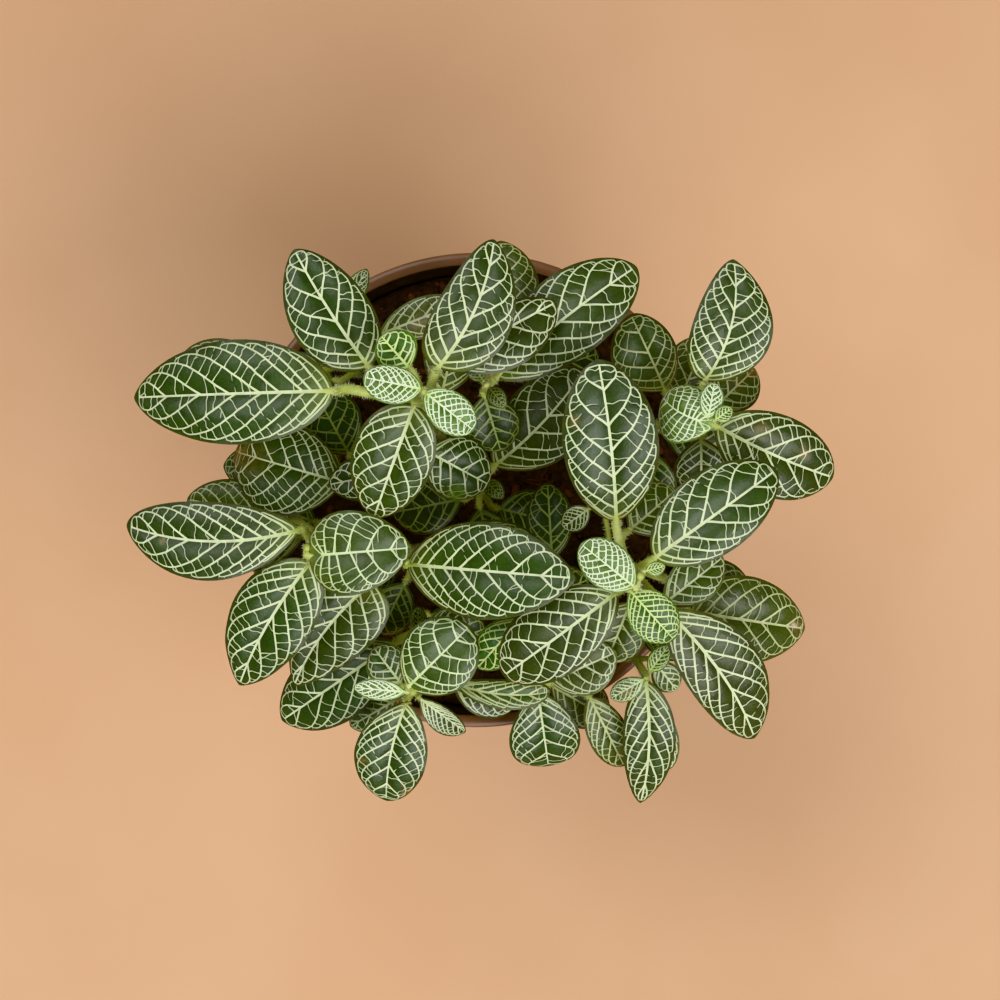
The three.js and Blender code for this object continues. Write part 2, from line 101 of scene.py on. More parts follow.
# Stems and leaf stalks. None of them runs along NO_STEMS_WAY, from which their rings are turned.
NO_STEMS_WAY = (0.31, 0.95, 0.05)
STEM_RADIUS = 1.15
STEM_FOOT = 58
STEM_STRAIGHT_TO = SOIL_TOP + 1
STEM_LEAN_POWER = 1.5
STEM_SIDES = 12
STEM_STEPS = 26
STEM_FOOT_GIRTH = 1.05
STALK_LEAST_RADIUS = 0.35
STALK_RADIUS_PER_WIDTH = 0.035
STALK_DROP = 1
STALK_SLOPE = 0.45
STALK_NECK = 0.25
STALK_SINK = 0.6
STALK_ROOT = 0.12
STALK_BELOW_TOP = 0.8
STALK_SIDES = 10
STALK_GIRTH_AT = (0, 0.7, 1)
STALK_GIRTH = (1.05, 0.9, 0.4)
SOLID_BLADE = 0.7
BUD_RISE = (0.3, 0.6, 0.85, 1.0)
BUD_GIRTH = (0.72, 0.68, 0.5, 0.28, 0.05)
HAIR_RADIUS = 0.045
HAIR_LENGTH = 0.95
HAIR_LENGTHS = (0.55, 1.15)
HAIR_LEAN = (-0.15, 0.5)
HAIR_TURN = 0.3
HAIR_ROOT = 0.9
STALK_SMOOTH = 60
STEM_HAIRS_PER_MM = 17
STALK_HAIRS_PER_MM = 16

# Leaf blades
BLADE_CREST = 0.06
BLADE_BOW = 0.06
BLADE_PEAK = 0.52
BLADE_SLIMNESS = 1.42
BLADE_EDGE = 0.16
BLADE_SWELL = 0.26
BLADE_THICKENS_IN = 1.2
BLADE_SMOOTH = 35
VEIN_SMOOTH = 40
EDGE_BAND = 0.3
WAVE_HEIGHTS = (0.15, 0.4)
WAVE_RATES = (0.45, 0.75)
FULL_WAVES_FROM = 14
PUFF_FROM_RIM = 0.9
MARGIN_STEPS = 34
FINE_MARGIN_STEPS = 60
PULLED_MARGIN = 0.22
GRID_STRAY = 0.15
GRID_INSET = 0.35
ROW_GAP = 0.866
UNDER_GRID = 1.8
UNDER_INSET = 0.6
WELD = 0.004
OWN_SHADE = ((0.85, 1.2), (0.95, 1.15), (0.8, 1.2))
VEIN_CLEARANCE = 0.14
VEIN_SLACK = 0.08
# Painted shade along the veins: how much darker the blade is next to them, and over what distance
VEIN_PAINTED_SHADE = 0.2
VEIN_PAINTED_SHADE_REACH = 0.28
VEIN_RISE = 0.04
VEIN_DROP = 0.06
VEIN_FULL_FROM = 0.5
LEAST_VEIN_RISE = 0.2
THIN_VEIN = 0.08
THICK_VEIN = 0.2
THIN_VEIN_FADE = 0.3
BASE_REACH = 0.08
BASE_STRENGTH = 0.4
VEIN_BASE_REACH = 0.2
VEIN_BASE_STRENGTH = 0.85
MIDRIB_REACH = 1.2
MIDRIB_SHARE = 0.6

# Each stem has a root and a top, then its leaves: blade base, blade tip, width, age and any bends, as in
# the solids. Leaves deep in the plant take, in place of an age, colours darkened as painted shade. bow lifts
# the middle of the midrib, cup lifts the margins, sway shifts the middle of the midrib to its left, peak is
# where the blade is widest, a larger slim makes its ends more pointed, uneven is the share by which its left
# half is the wider one, and heart how far its lobes reach back behind the stalk.
STEMS = {
  "stem_tall": {"root": [-8, 12], "top": [-10, 19.5, 151], "leaves": [
    ["back", [-7.2, 24.4, 147], [4.1, 50.4, 146], 16, "mature",
      dict(bow=2, sway=-2.2, peak=0.38, slim=1.1, uneven=-0.05)],
    ["back_right", [-6.3, 25.4, 143], [16.8, 38.2, 138.5], 12.9, "mature", dict(uneven=-0.22)],
    ["young_left", [-10.5, 20, 152], [-22, 22.3, 153], 7.8, "young", dict(slim=1.1, uneven=0.08)],
    ["young_right", [-9.7, 19.3, 151], [0, 11.8, 148], 8.3, "young", dict(slim=1.1)],
    ["front", [-12, 17, 145], [-20.7, -6, 133], 16.8, "mature",
      dict(bow=2, peak=0.42, slim=1.2, uneven=-0.06)],
    ["far_left", [-28.5, 20, 141], [-70.5, 19, 129], 21.5, "mature",
      dict(bow=3, peak=0.45, slim=1.25, uneven=-0.03)],
    ["back_left", [-21.5, 25, 139], [-36.8, 49, 138], 16.8, "mature",
      dict(sway=0.6, peak=0.42, slim=1.2, uneven=0.05)],
    ["bright", [-13, 24.4, 147.5], [-18.6, 30.8, 148.5], 9, "lime", dict(slim=1.2, uneven=-0.1)],
    ["curled", [-10, 8, 127], [3, 1, 122], 14, "mature", dict(cup=-2)],
    ["low_left", [-15, 4, 126], [-30.5, 1, 124], 9.5, "mature"],
    ["low_back", [-7, 20, 119], [-3, 37, 112], 12, "old"],
  ]},
  "stem_back": {"root": [4, 25], "top": [2.5, 21.5, 136], "leaves": [
    ["right", [4.5, 23, 134], [33.5, 46, 131], 17.4, "mature", dict(bow=2.5, sway=0.8, slim=1.25)],
    ["back", [6, 30, 129], [5.5, 52, 123], 15.5, "old"],
    ["front", [2, 19.5, 125], [5.5, 8, 120], 12, "dim"],
    ["low_right", [9, 28, 113], [25, 37.5, 105], 13, "old"],
    ["low_foot", [12, 25, 95], [27, 30, 90], 11, "dim"],
  ]},
  "stem_middle": {"root": [1, 0], "top": [1.5, 2.5, 115], "leaves": [
    ["right", [4, 5, 114], [23, 25, 123], 17, "mature", dict(sway=-1.2)],
    ["low_right", [5, -4, 94], [17, -7, 90], 11.5, "dim"],
    ["low_left", [-3, -2, 106], [-18, -5, 101], 12, "dim"],
    ["low_front", [1, -4, 98], [4, -17, 94], 11, "dim"],
  ]},
  "stem_left_inner": {"root": [-24, 3], "top": [-25.5, 3, 124], "leaves": [
    ["left", [-28, 1.5, 121], [-50.5, 8, 118], 19.5, "mature", dict(bow=1.5, slim=1.25, uneven=0.08)],
    ["back", [-26.5, 7.5, 117], [-34, 21, 116], 13, "dim"],
    ["old_left", [-38, 4, 112], [-53.5, 5, 112], 10.5, "old"],
    ["low_left", [-29, 5, 104], [-50, 14, 99], 13, "old"],
  ]},
  "stem_back_left": {"root": [-26, 26], "top": [-24, 29.5, 121], "leaves": [
    ["right", [-20, 32.5, 120], [-2.5, 39.3, 121], 8.5, "pale"],
    ["back", [-29, 36, 113], [-23, 47, 111], 5, "pale"],
    ["left", [-43, 24.5, 116], [-62, 28.5, 114], 10.5, "old"],
    ["low_back", [-28, 31, 105], [-34, 45, 100], 11, "old"],
    ["low_left", [-31, 24, 94], [-46, 26, 90], 10.5, "dim"],
  ]},
  "stem_right": {"root": [27, -13], "top": [33.5, -17.5, 149], "leaves": [
    ["young_left", [32.2, -19.6, 149.5], [21.5, -11, 150], 9.5, "young", dict(slim=1.15)],
    ["young_front", [31.5, -20.5, 148], [40.5, -30.5, 145], 10, "lime"],
    ["back", [29, -6.5, 139], [25, 26, 149], 19.5, "mature",
      dict(bow=2, sway=-0.6, peak=0.5, slim=1.25)],
    ["back_right", [36.5, -14, 144], [61.5, 4, 142], 17, "mature",
      dict(bow=2, peak=0.48, slim=1.2, uneven=0.07)],
    ["front_left", [29, -21, 142], [6, -38.5, 131], 16.5, "mature",
      dict(bow=2, slim=1.2, uneven=-0.06)],
    ["front_right", [39.5, -25, 140], [58.5, -52, 123], 16, "mature",
      dict(bow=2.5, sway=1.8, peak=0.48, slim=1.3, uneven=0.1)],
    ["tiny", [34.5, -16.5, 149], [38.5, -15.5, 149], 3, "lime"],
    ["pale_right", [39, -23.5, 134], [51.5, -14, 129], 10, "pale"],
    ["far_right", [45, -25.5, 123], [70, -29.5, 113], 18.5, "old", dict(bow=2, peak=0.42, slim=1.15)],
    ["back_left", [24, -4, 121], [18.5, -8, 118], 5.5, "mature"],
    ["low_back", [32.5, -8.5, 121], [42.5, 0, 117], 12, "old"],
    ["low_right", [41, -19, 108], [60, -24, 100], 14, "old"],
    ["low_front", [33, -24, 112], [28, -37, 107], 12, "old"],
  ]},
  "stem_far_right": {"root": [36, 14], "top": [48.5, 13.5, 139], "leaves": [
    ["back", [47.3, 22.2, 136], [53, 47, 138], 16.5, "mature",
      dict(sway=-2.6, peak=0.42, slim=1.25, uneven=-0.06)],
    ["right", [49.5, 13, 137], [74.5, 2.5, 127], 17, "mature",
      dict(bow=2, sway=-0.8, peak=0.5, slim=1.2)],
    ["young_left", [49.2, 13, 140], [38.8, 19, 134], 12.5, "young",
      dict(bow=2.5, cup=-1.5, sway=1.3, heart=0.2)],
    ["tiny", [49, 14, 141], [52.5, 16.5, 141], 3.5, "lime"],
    ["young_back", [47.7, 14.5, 140.5], [49, 21.7, 139.5], 5, "young", dict(slim=1.2)],
    ["front", [47, 10.5, 128], [47.5, -1, 120], 11.5, "mature"],
    ["brown_back", [50, 17, 122], [59, 25.5, 118], 10.5, "old"],
    ["back_left", [40, 21, 118], [32.5, 36.5, 125], 14, "old", dict(bow=2, slim=1.25, uneven=0.16)],
    ["low_right", [46, 11, 114], [64, 5, 106], 14, "old"],
    ["low_back", [43, 18, 108], [50, 33, 103], 12, "old"],
    ["low_front", [38, 8, 104], [38, -6, 99], 11, "dim"],
    ["low_foot", [41, 13, 95], [56, 9, 90], 11, "dim"],
  ]},
  "stem_left": {"root": [-29, -10], "top": [-34.5, -12, 132], "leaves": [
    ["right", [-34.1, -13.7, 132], [-13, -12, 135], 17.5, "fresh",
      dict(bow=2, peak=0.4, slim=1.1, heart=0.13)],
    ["far_left", [-36.5, -8.5, 128], [-73, -7.5, 121], 16.5, "mature", dict(bow=2, sway=2.8, slim=1.3)],
    ["front", [-34, -15, 127], [-50, -41.5, 113], 17.5, "mature",
      dict(bow=2, sway=-1.2, peak=0.42, slim=1.3)],
    ["back_left", [-39, -6.5, 116], [-61, -2, 114], 12.5, "old"],
    ["low_left", [-37, -10, 106], [-58, -12, 99], 13, "old"],
    ["low_front", [-33, -16, 104], [-43, -31, 97], 12, "old"],
    ["low_foot", [-35, -7, 95], [-51, -1, 90], 11, "dim"],
  ]},
  "stem_centre": {"root": [-12, -13], "top": [-14, -15, 129], "leaves": [
    ["right", [-14, -15.5, 129], [20.5, -18, 145], 20, "mature", dict(bow=2, peak=0.48)],
    ["front_left", [-21.5, -19.5, 119], [-38.7, -42, 108], 17.5, "mature",
      dict(bow=1.5, sway=-1.8, peak=0.33, slim=1.25, uneven=0.07)],
    ["back_right", [-6, -10.5, 118], [14.5, -13, 115], 11, "dim"],
    ["low_right", [-7, -17, 107], [8, -20, 103], 11, "dim"],
    ["low_left", [-17, -12, 105], [-27, -22, 99], 11, "dim"],
    ["low_front", [-15, -20, 109], [-20.5, -31, 104], 10, "dim"],
  ]},
  "stem_front_left_inner": {"root": [-14, -28], "top": [-12, -31, 113], "leaves": [
    ["right", [-10, -29, 112], [-1.5, -29, 112], 8.5, "pale"],
    ["far_left", [-17, -32.5, 111], [-42, -50, 98], 16.5, "mature", dict(bow=2)],
    ["low_right", [-10, -27, 102], [2, -32, 98], 10, "dim"],
  ]},
  "stem_front_left": {"root": [-10, -38], "top": [-13, -42.5, 120], "leaves": [
    ["back_right", [-14, -41.5, 120], [-1, -28.5, 124], 16.3, "fresh", dict(slim=1.2)],
    ["pale_left", [-15.5, -41, 116.5], [-21.5, -33.5, 113], 9, "pale"],
    ["front", [-14.5, -45, 117], [-19, -66.5, 108], 15.5, "mature",
      dict(bow=1.5, sway=-1, slim=1.3)],
    ["small_left", [-14.5, -42.5, 120.5], [-25.5, -41.5, 120], 4.6, "young"],
    ["small_right", [-11.5, -44, 118.5], [-2, -51.5, 112], 5.5, "mature", dict(uneven=-0.3)],
    ["low_left", [-17, -45, 106.5], [-27, -51, 102], 7.5, "pale"],
    ["pale_right", [-5, -41, 112], [16, -43, 112], 6.5, "old", dict(sway=-1.4, peak=0.6, slim=1.2)],
    ["low_right", [-4.5, -42.5, 103], [8, -47.5, 99], 8, "mature"],
  ]},
  "stem_front_inner": {"root": [9, -22], "top": [11, -25, 127], "leaves": [
    ["front_left", [10, -26.5, 126], [0.5, -37.6, 118], 9, "lime"],
    ["low_back", [16.5, -15, 104], [15.5, 1.5, 103], 10, "dim"],
    ["right", [13.5, -23, 120], [24, -19, 117], 10, "dim"],
    ["low_right", [13, -26, 108], [25, -30, 103], 11, "dim"],
  ]},
  "stem_front": {"root": [13, -38], "top": [13.5, -42, 103], "leaves": [
    ["front", [13.5, -43.5, 101], [15.9, -60.4, 92], 15.5, "mature",
      dict(bow=1.5, peak=0.62, slim=1.15)],
    ["right", [16, -41.1, 106], [30, -34.6, 111], 12.5, "pale"],
    ["low_right", [16.5, -42.5, 97], [29, -50, 91], 11, "old"],
  ]},
  "stem_front_right": {"root": [29.5, -27], "top": [36.5, -40, 109], "leaves": [
    ["front", [36.5, -41, 108], [36, -68.5, 92], 11.5, "mature",
      dict(bow=2, sway=1.2, peak=0.42, slim=1.3)],
    ["small_left", [36, -40.4, 110], [29.1, -44.8, 105], 5, "young"],
    ["front_left", [24.7, -44.8, 102], [32.4, -60.3, 93], 9, "old", dict(slim=1.15)],
    ["front_right", [38.5, -37, 106], [43.4, -43.2, 102], 6.5, "pale"],
    ["back_left", [33, -36, 104], [33, -28.5, 106], 7, "pale"],
    ["bright_right", [37.2, -38.9, 109], [41.1, -33.2, 111], 4.5, "lime"],
    ["pale_front", [38.5, -45.5, 98], [42.5, -61, 93], 7, "pale"],
    ["low_right", [35.5, -30, 95], [49, -34, 90], 10.5, "dim"],
  ]},
}

# Stems in the shade that end in a half-opened pair of tiny leaves, and how far from the stem's top the
# base and the tip of each reach and rise
SHADED_TIPS = ("stem_back", "stem_back_left", "stem_middle", "stem_front_left_inner", "stem_front_inner")
TIP_REACH = (0.9, 6.2)
TIP_RISE = (0.4, 3.2)
TIP_WIDTH = 3.9
TIP_BOW = 0.7

# Marks of age and wear, by stem and leaf: how far along the blade, how far to the left of the midrib in
# millimetres, radius, strength and colour. They are ragged: their strength varies about a mean.
MARK_MEAN = 0.6
MARK_RAGGED = 0.8
MARKS = {
    ("stem_left_inner", "left"): [(0.99, 0.0, 2.0, 0.9, "#7f6134"), (0.86, 0.6, 4.0, 0.25, "#a9843f")],
    ("stem_right", "far_right"): [(0.93, 0.4, 1.7, 0.5, "#a07a50"), (0.88, 0.3, 0.6, 1.0, "#dcc4aa")],
    ("stem_far_right", "brown_back"): [(0.93, 0.0, 1.6, 0.9, "#7c4f24"), (0.6, 1.5, 3.0, 0.3, "#8f7434")],
    ("stem_right", "back"): [(0.67, 6.9, 1.3, 0.28, "#9a7740"), (0.0, 0.0, 1.3, 0.9, "#8a5a1e")],
    ("stem_far_right", "right"): [(0.67, 2.6, 1.1, 0.5, "#a98560"), (0.3, 3.5, 1.8, 0.25, "#a07a40")],
    ("stem_left", "far_left"): [(0.77, 0.7, 0.6, 0.9, "#cbb68c")],
    ("stem_tall", "curled"): [(0.66, -5.2, 2.2, 0.8, "#6f9220")],
    ("stem_back_left", "right"): [(0.5, -1.6, 3.0, 0.35, "#a9874e")],
    ("stem_front_left", "front"): [(0.85, 4.6, 1.0, 0.8, "#a4733c"), (0.6, -5.6, 0.8, 0.7, "#96703c")],
    ("stem_front_right", "small_left"): [(0.5, 1.2, 2.0, 0.4, "#b99866")],
    ("stem_front_right", "front_left"): [(0.8, 1.5, 2.2, 0.4, "#7d6a26")],
    ("stem_centre", "front_left"): [(0.1, 0.0, 2.0, 0.4, "#8a7a30")],
}

# How the veins of a leaf are set out, by its size: widths and distances are in millimetres, angles in
# degrees, and the rest are shares of the leaf's length or chances.
LARGE = dict(midrib=0.8, secondary=0.41, rung=0.21, inset=0.72, rung_gap=2.25, pairs=(7, 9), pair_gap=4.4,
             loop_tip=0.97, stagger=0.4, last=0.8, crowd=1.95, sweep=0.98, fan=26, spread=7, turn=13,
             step=1.3, min_rung=0.75, wiggle=0.32, stray=0.1, spurs=0.05, forks=0.1, outer=0.7, late=0.03,
             join=0.86, plain=0.2, grid=0.75, puff=0.16)
VEIN_STYLES = {
    "large": LARGE,
    "medium": dict(LARGE, midrib=0.62, secondary=0.37, rung=0.2, inset=0.62, rung_gap=1.85, pairs=(6, 8),
                   pair_gap=2.9, loop_tip=0.965, last=0.78, crowd=1.8, step=1.1, min_rung=0.62,
                   wiggle=0.25, stray=0.08, spurs=0.04, forks=0.08, outer=0.65, grid=0.68, puff=0.15),
    "small": dict(LARGE, midrib=0.44, secondary=0.29, rung=0.165, inset=0.38, rung_gap=1.05, pair_gap=1.5,
                  loop_tip=0.96, last=0.78, crowd=1.5, sweep=0.95, fan=28, spread=8, turn=14, step=0.8,
                  min_rung=0.4, wiggle=0.15, stray=0.05, spurs=0.04, forks=0.15, outer=0.5, late=0.06,
                  plain=0.25, grid=0.46, puff=0.1),
    "tiny": dict(LARGE, midrib=0.32, secondary=0.2, rung=0.12, inset=0.3, rung_gap=0.75, pairs=(6, 6),
                 pair_gap=1.5, loop_tip=0.95, stagger=0.35, last=0.76, crowd=1.25, sweep=0.95, spread=12,
                 turn=12, step=0.7, min_rung=0.38, wiggle=0.05, stray=0, spurs=0, forks=0, outer=0,
                 late=0.1, join=0.88, plain=0.4, grid=0.42, puff=0.06),
}

# Which style a leaf gets, by its width and, for the largest, its length. Young leaves and broad lime ones
# keep the small leaves' close net.
SMALL_FROM = 4.2
MEDIUM_FROM = 6
LARGE_FROM = 26
BROAD_LIME_FROM = 9.2

# Side veins: how their roots and ends run along the leaf and stray, how far from the margin they and their
# loops stay as shares of the inset, and the lengths of the handles that bend them
FIRST_ROOT = 0.015
SWEEP_RISE = 0.5
SWEEP_FALL = 1.15
HEART_CROWD = 1.35
HEART_PULL = 0.09
ROOT_STRAY = 0.014
RIM_INSET = 1.1
BULGE_INSET = 0.25
LOOP_INSET = 0.85
TIP_INSET = 0.9
FAN_FADE = 0.9
WIDEST_LEAD = 140
ROOT_HANDLE = 0.36
RIM_HANDLE = 0.34
LOOP_HANDLE = 0.55
JOIN_HANDLE = (0.05, 0.35)
SLOPE_STEP = 0.3

# Rungs: when the first comes and how the gaps between them vary, then where spurs stop and how forks branch
FIRST_RUNG = (0.9, 1.5)
RUNG_GAPS = (0.7, 1.3)
RUNG_SLIDE = (-0.25, 0.15)
RUNG_WIDTHS = (0.75, 1.2)
RUNG_FOOT = 1.25
RUNG_WAIST = 0.85
NEAR_SPUR = (0.3, 0.42)
FAR_SPUR = (0.58, 0.7)
LONG_SPUR = (0.3, 0.62)
THIRDS = (0.34, 0.67)
BENT_TWICE = 1.6
FORK_FROM = 1.7
FORK_REACH = (0.5, 0.8)
OPEN_FORKS = 0.3
OPEN_FORK_RUN = 0.55

# Spurs between the loops and the margin, and the small arcs that join some of them
MARGIN_SPUR_WIDTH = 0.6
FIRST_MARGIN_SPUR = (0.3, 1.2)
LAST_MARGIN_SPUR = 0.93
LEAST_MARGIN_SPUR = 0.15
MARGIN_SPUR_GAPS = (0.6, 1.4)
MARGIN_SPUR_LEAN = (-0.1, 0.5)
MARGIN_SPUR_INSETS = (0.35, 0.6)
SMALL_ARCS = 0.3
LEAST_ARC = 0.6

# Floor, lights by place, size and power in metres and watts, and a camera that looks straight down
FLOOR_SIZE = 6
SOFT_LIGHTS = {
    "window": ((-0.58, 0.6, 1.2), 1.2, 13),
    "second_window": ((0.66, -0.6, 1.2), 1.1, 17),
    "front_fill": ((0.0, -1.05, 1.0), 1.0, 9),
}
LIGHTS_AIM = (0, 0, 0.1)
ROOM_LIGHT = "#f4efe8"
ROOM_STRENGTH = 0.32
CAMERA_PLACE = (5.3, -2.2, 785)
CAMERA_LENS = 114
CAMERA_SENSOR = 36

# Colours of a blade, its veins, its margin and the foot of its midrib, by age. The last is no age: its
# colours, for leaves deep in the plant, are darkened as painted shade.
AGES = {
    "mature": dict(blade="#2b3c0f", vein="#bfc9a3", edge="#403c16", base="#95a550"),
    "fresh": dict(blade="#334617", vein="#bfcca1", edge="#454a1b", base="#98aa52"),
    "pale": dict(blade="#48582c", vein="#c8d1aa", edge="#66703a", base="#9aa85c"),
    "young": dict(blade="#536f34", vein="#dce6c8", edge="#5f7a3a", base="#9cbb52"),
    "lime": dict(blade="#31530f", vein="#c4d592", edge="#557022", base="#90ae40"),
    "old": dict(blade="#3a4b18", vein="#b3bb8a", edge="#4a4019", base="#7f8a3c"),
    # Painted shade: colours darkened for leaves deep in the plant, in place of an age
    "dim": dict(blade="#22320d", vein="#8b985f", edge="#343a16", base="#5a6a30"),
}
UNDERSIDE = "#71834c"
UNDERSIDE_VEIN = "#a3b27c"


def linear(hex_colour):
    """An sRGB hex colour as linear red, green, blue and a full alpha"""
    values = [int(hex_colour[i:i + 2], 16) / 255 for i in (1, 3, 5)]
    return [v / 12.92 if v <= 0.04045 else ((v + 0.055) / 1.055) ** 2.4 for v in values] + [1.0]


def grain(size_mm):
    """The scale of a pattern whose features are about size_mm across"""
    return 1 / (size_mm * MM)


def node(tree, kind, settings=None, links=None):
    """Adds a node with its settings, which may be the stops of a colour ramp, and its links"""
    made = tree.nodes.new(kind)
    for key, value in (settings or {}).items():
        if key == "stops":
            elements = made.color_ramp.elements
            while len(elements) < len(value):
                elements.new(0.5)
            for element, (position, colour) in zip(elements, value):
                element.position = position
                element.color = linear(colour)
        elif key in made.inputs:
            made.inputs[key].default_value = value
        else:
            setattr(made, key, value)
    for key, source in (links or {}).items():
        tree.links.new(source, made.inputs[key])
    return made


def patterned(name, patterns, dullness, stops=None, shades=None, ior=1.5, bump=None):
    """A material with one or two patterns of noise, each of a size in millimetres, detail and roughness.

    The first pattern picks the colour between stops, or each pattern shades the points' own tints. A
    shade, or a dullness that isn't the same all over, spreads a pattern's range over a range of its own.
    bump is the strength and the depth in millimetres of the last pattern."""
    material = bpy.data.materials.new(name)
    material.use_nodes = True
    tree = material.node_tree
    tree.nodes.clear()
    place = node(tree, "ShaderNodeTexCoord").outputs["Object"]
    heights = []
    for size, detail, rough in patterns:
        settings = {"Scale": grain(size), "Detail": detail, "Roughness": rough}
        heights.append(node(tree, "ShaderNodeTexNoise", settings, {"Vector": place}).outputs["Fac"])
    if stops:
        colour = node(tree, "ShaderNodeValToRGB", {"stops": stops}, {"Fac": heights[0]}).outputs["Color"]
    else:
        colour = node(tree, "ShaderNodeAttribute", {"attribute_name": "tint"}).outputs["Color"]
        for shade, height in zip(shades, heights):
            factor = node(tree, "ShaderNodeMapRange", dict(zip(RANGE, shade)), {"Value": height})
            colour = node(tree, "ShaderNodeVectorMath", {"operation": "SCALE"},
                          {"Vector": colour, "Scale": factor.outputs["Result"]}).outputs["Vector"]
    settings = {"IOR": ior}
    links = {"Base Color": colour}
    if isinstance(dullness, tuple):
        dull = node(tree, "ShaderNodeMapRange", dict(zip(RANGE, dullness)), {"Value": heights[0]})
        links["Roughness"] = dull.outputs["Result"]
    else:
        settings["Roughness"] = dullness
    if bump:
        relief = node(tree, "ShaderNodeBump", {"Strength": bump[0], "Distance": bump[1] * MM},
                      {"Height": heights[-1]})
        links["Normal"] = relief.outputs["Normal"]
    skin = node(tree, "ShaderNodeBsdfPrincipled", settings, links)
    node(tree, "ShaderNodeOutputMaterial", links={"Surface": skin.outputs["BSDF"]})
    return material


RANGE = ("From Min", "From Max", "To Min", "To Max")

# Living leaf under a thin waxy skin. It grew, so no tool marks: rows of skin cells give a fine speckle,
# and the wax a broken satin shine that turns grey-green where it mirrors a bright window.
BLADE = patterned("living_leaf_blade", [(3.5, 4, 0.6), (0.42, 3, 0.7)], dullness=(0.3, 0.7, 0.29, 0.43),
                  shades=[(0.3, 0.7, 0.74, 1.2), (0.35, 0.68, 0.78, 1.3)], ior=1.51, bump=(0.9, 0.11))

# Vein tissue without green in it, a little raised and drier than the blade: creamy and nearly matt, with
# slight uneven yellowing along its length.
VEIN = patterned("pale_vein_tissue", [(2.5, 3, 0.5)], dullness=0.5, shades=[(0.3, 0.7, 0.84, 1.05)],
                 ior=1.42)

# Young green stem, soft and juicy: yellow-green with a brownish flush, a satin skin with fine lengthwise
# unevenness.
SKIN = patterned("soft_stem_skin", [(6, 4, 0.5), (0.35, 2, 0.5)], dullness=0.48,
                 stops=[(0.3, "#7d7a3c"), (0.42, "#8d9a4a"), (0.6, "#a5b064"), (0.74, "#bac283")],
                 ior=1.42, bump=(0.5, 0.06))

# Short plant hairs of single cells, nearly clear one by one and milky white together
HAIR = patterned("plant_hair", [(3, 2, 0.5)], dullness=0.5, stops=[(0.35, "#c6cb9e"), (0.65, "#e9ebd2")])

# Brown polypropylene, thin and injection moulded: satin, with the mould's faint orange peel, and rubbed
# paler and duller in patches by handling and dried splashes of water
PLASTIC = patterned("moulded_polypropylene", [(11, 6, 0.65), (0.7, 2, 0.5)],
                    dullness=(0.3, 0.7, 0.34, 0.46), ior=1.49, bump=(0.4, 0.05),
                    stops=[(0.3, "#6d4f3a"), (0.5, "#775842"), (0.72, "#84644c")])

# The same plastic inside the pot, above the mix, dark and dull: its darkness is painted shade, where the
# plant shades the inner wall
SHADE_PAINTED_PLASTIC = patterned("shade_painted_polypropylene", [(4, 6, 0.7)], dullness=0.8, bump=(0.6, 0.15),
                    stops=[(0.3, "#1d130b"), (0.55, "#302011"), (0.75, "#48311c")])

# Moist coco peat: dark brown crumbs with reddish pith, filled in by hand and settled by watering, dull all
# over but for a faint damp sheen
PEAT = patterned("moist_coco_peat", [(1.5, 6, 0.7), (0.5, 4, 0.7)], dullness=(0.35, 0.65, 0.68, 0.95),
                 stops=[(0.3, "#140c07"), (0.47, "#28190e"), (0.6, "#3c2413"), (0.76, "#543119")],
                 bump=(0.9, 0.3))

# Chips and strands of coconut husk, torn apart by machine: stringy, red-brown and dull, each of its own
# shade
COIR = patterned("coconut_husk", [(0.6, 4, 0.7)], dullness=0.8, shades=[(0.3, 0.7, 0.55, 1.35)],
                 bump=(0.8, 0.15))
COIR_SHADES = [np.array(linear(c)) for c in ("#120b07", "#1d130b", "#2b1a0f", "#3d2313", "#53301a")]

# Sealed pale board, sanded and rolled with a thin matt coat: even, with the faintest cloudiness
BOARD = patterned("sealed_pale_board", [(90, 3, 0.5)], dullness=0.7,
                  stops=[(0.35, "#bb9370"), (0.65, "#c09a78")])


def mesh_piece(name, parts, material, smooth_angle=None):
    """A finished piece, with its place in its mesh, from parts: each has points in millimetres, faces and,
    where its colours vary, a tint for every point"""
    mesh = bpy.data.meshes.new(name)
    points = np.vstack([part[0] for part in parts]) * MM
    faces = []
    count = 0
    for part in parts:
        faces += [tuple(i + count for i in face) for face in part[1]]
        count += len(part[0])
    mesh.from_pydata(points.tolist(), [], faces)
    if len(parts[0]) > 2:
        tints = mesh.attributes.new("tint", "FLOAT_COLOR", "POINT")
        colours = np.ones((count, 4), np.float32)
        colours[:, :3] = np.vstack([part[2] for part in parts])[:, :3]
        tints.data.foreach_set("color", colours.ravel())
    mesh.materials.append(material)
    mesh.update()
    mesh.shade_smooth()
    if smooth_angle is not None:
        mesh.set_sharp_from_angle(angle=math.radians(smooth_angle))
    piece = bpy.data.objects.new(name, mesh)
    bpy.context.scene.collection.objects.link(piece)
    return piece


def finish_piece(piece, replaced=None):
    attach(piece, "root")
    if replaced:
        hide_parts(replaced)


# Veins, laid out on a flat leaf

def outline(t, peak, slimness):
    """How wide a blade is along its length, as a share of its greatest width"""
    t = np.clip(t, 0.0, 1.0)
    rise = slimness * peak
    fall = slimness - rise
    return (t ** rise * (1 - t) ** fall) / (peak ** rise * (1 - peak) ** fall)


class HalfLeaf:
    """Half of a leaf laid flat: X along the midrib and Y out from it, in millimetres"""

    def __init__(self, length, width, peak, slimness):
        self.length = length
        self.width = width
        self.peak = peak
        self.slimness = slimness

    def reach(self, x):
        return self.width * outline(x / self.length, self.peak, self.slimness)

    def inside(self, x, inset):
        return max(0.0, float(self.reach(x)) - inset)

    def slope(self, x, inset):
        """The angle of the line that stays inset from the margin"""
        rise = self.inside(x + SLOPE_STEP, inset) - self.inside(x - SLOPE_STEP, inset)
        return math.atan(rise / (2 * SLOPE_STEP))


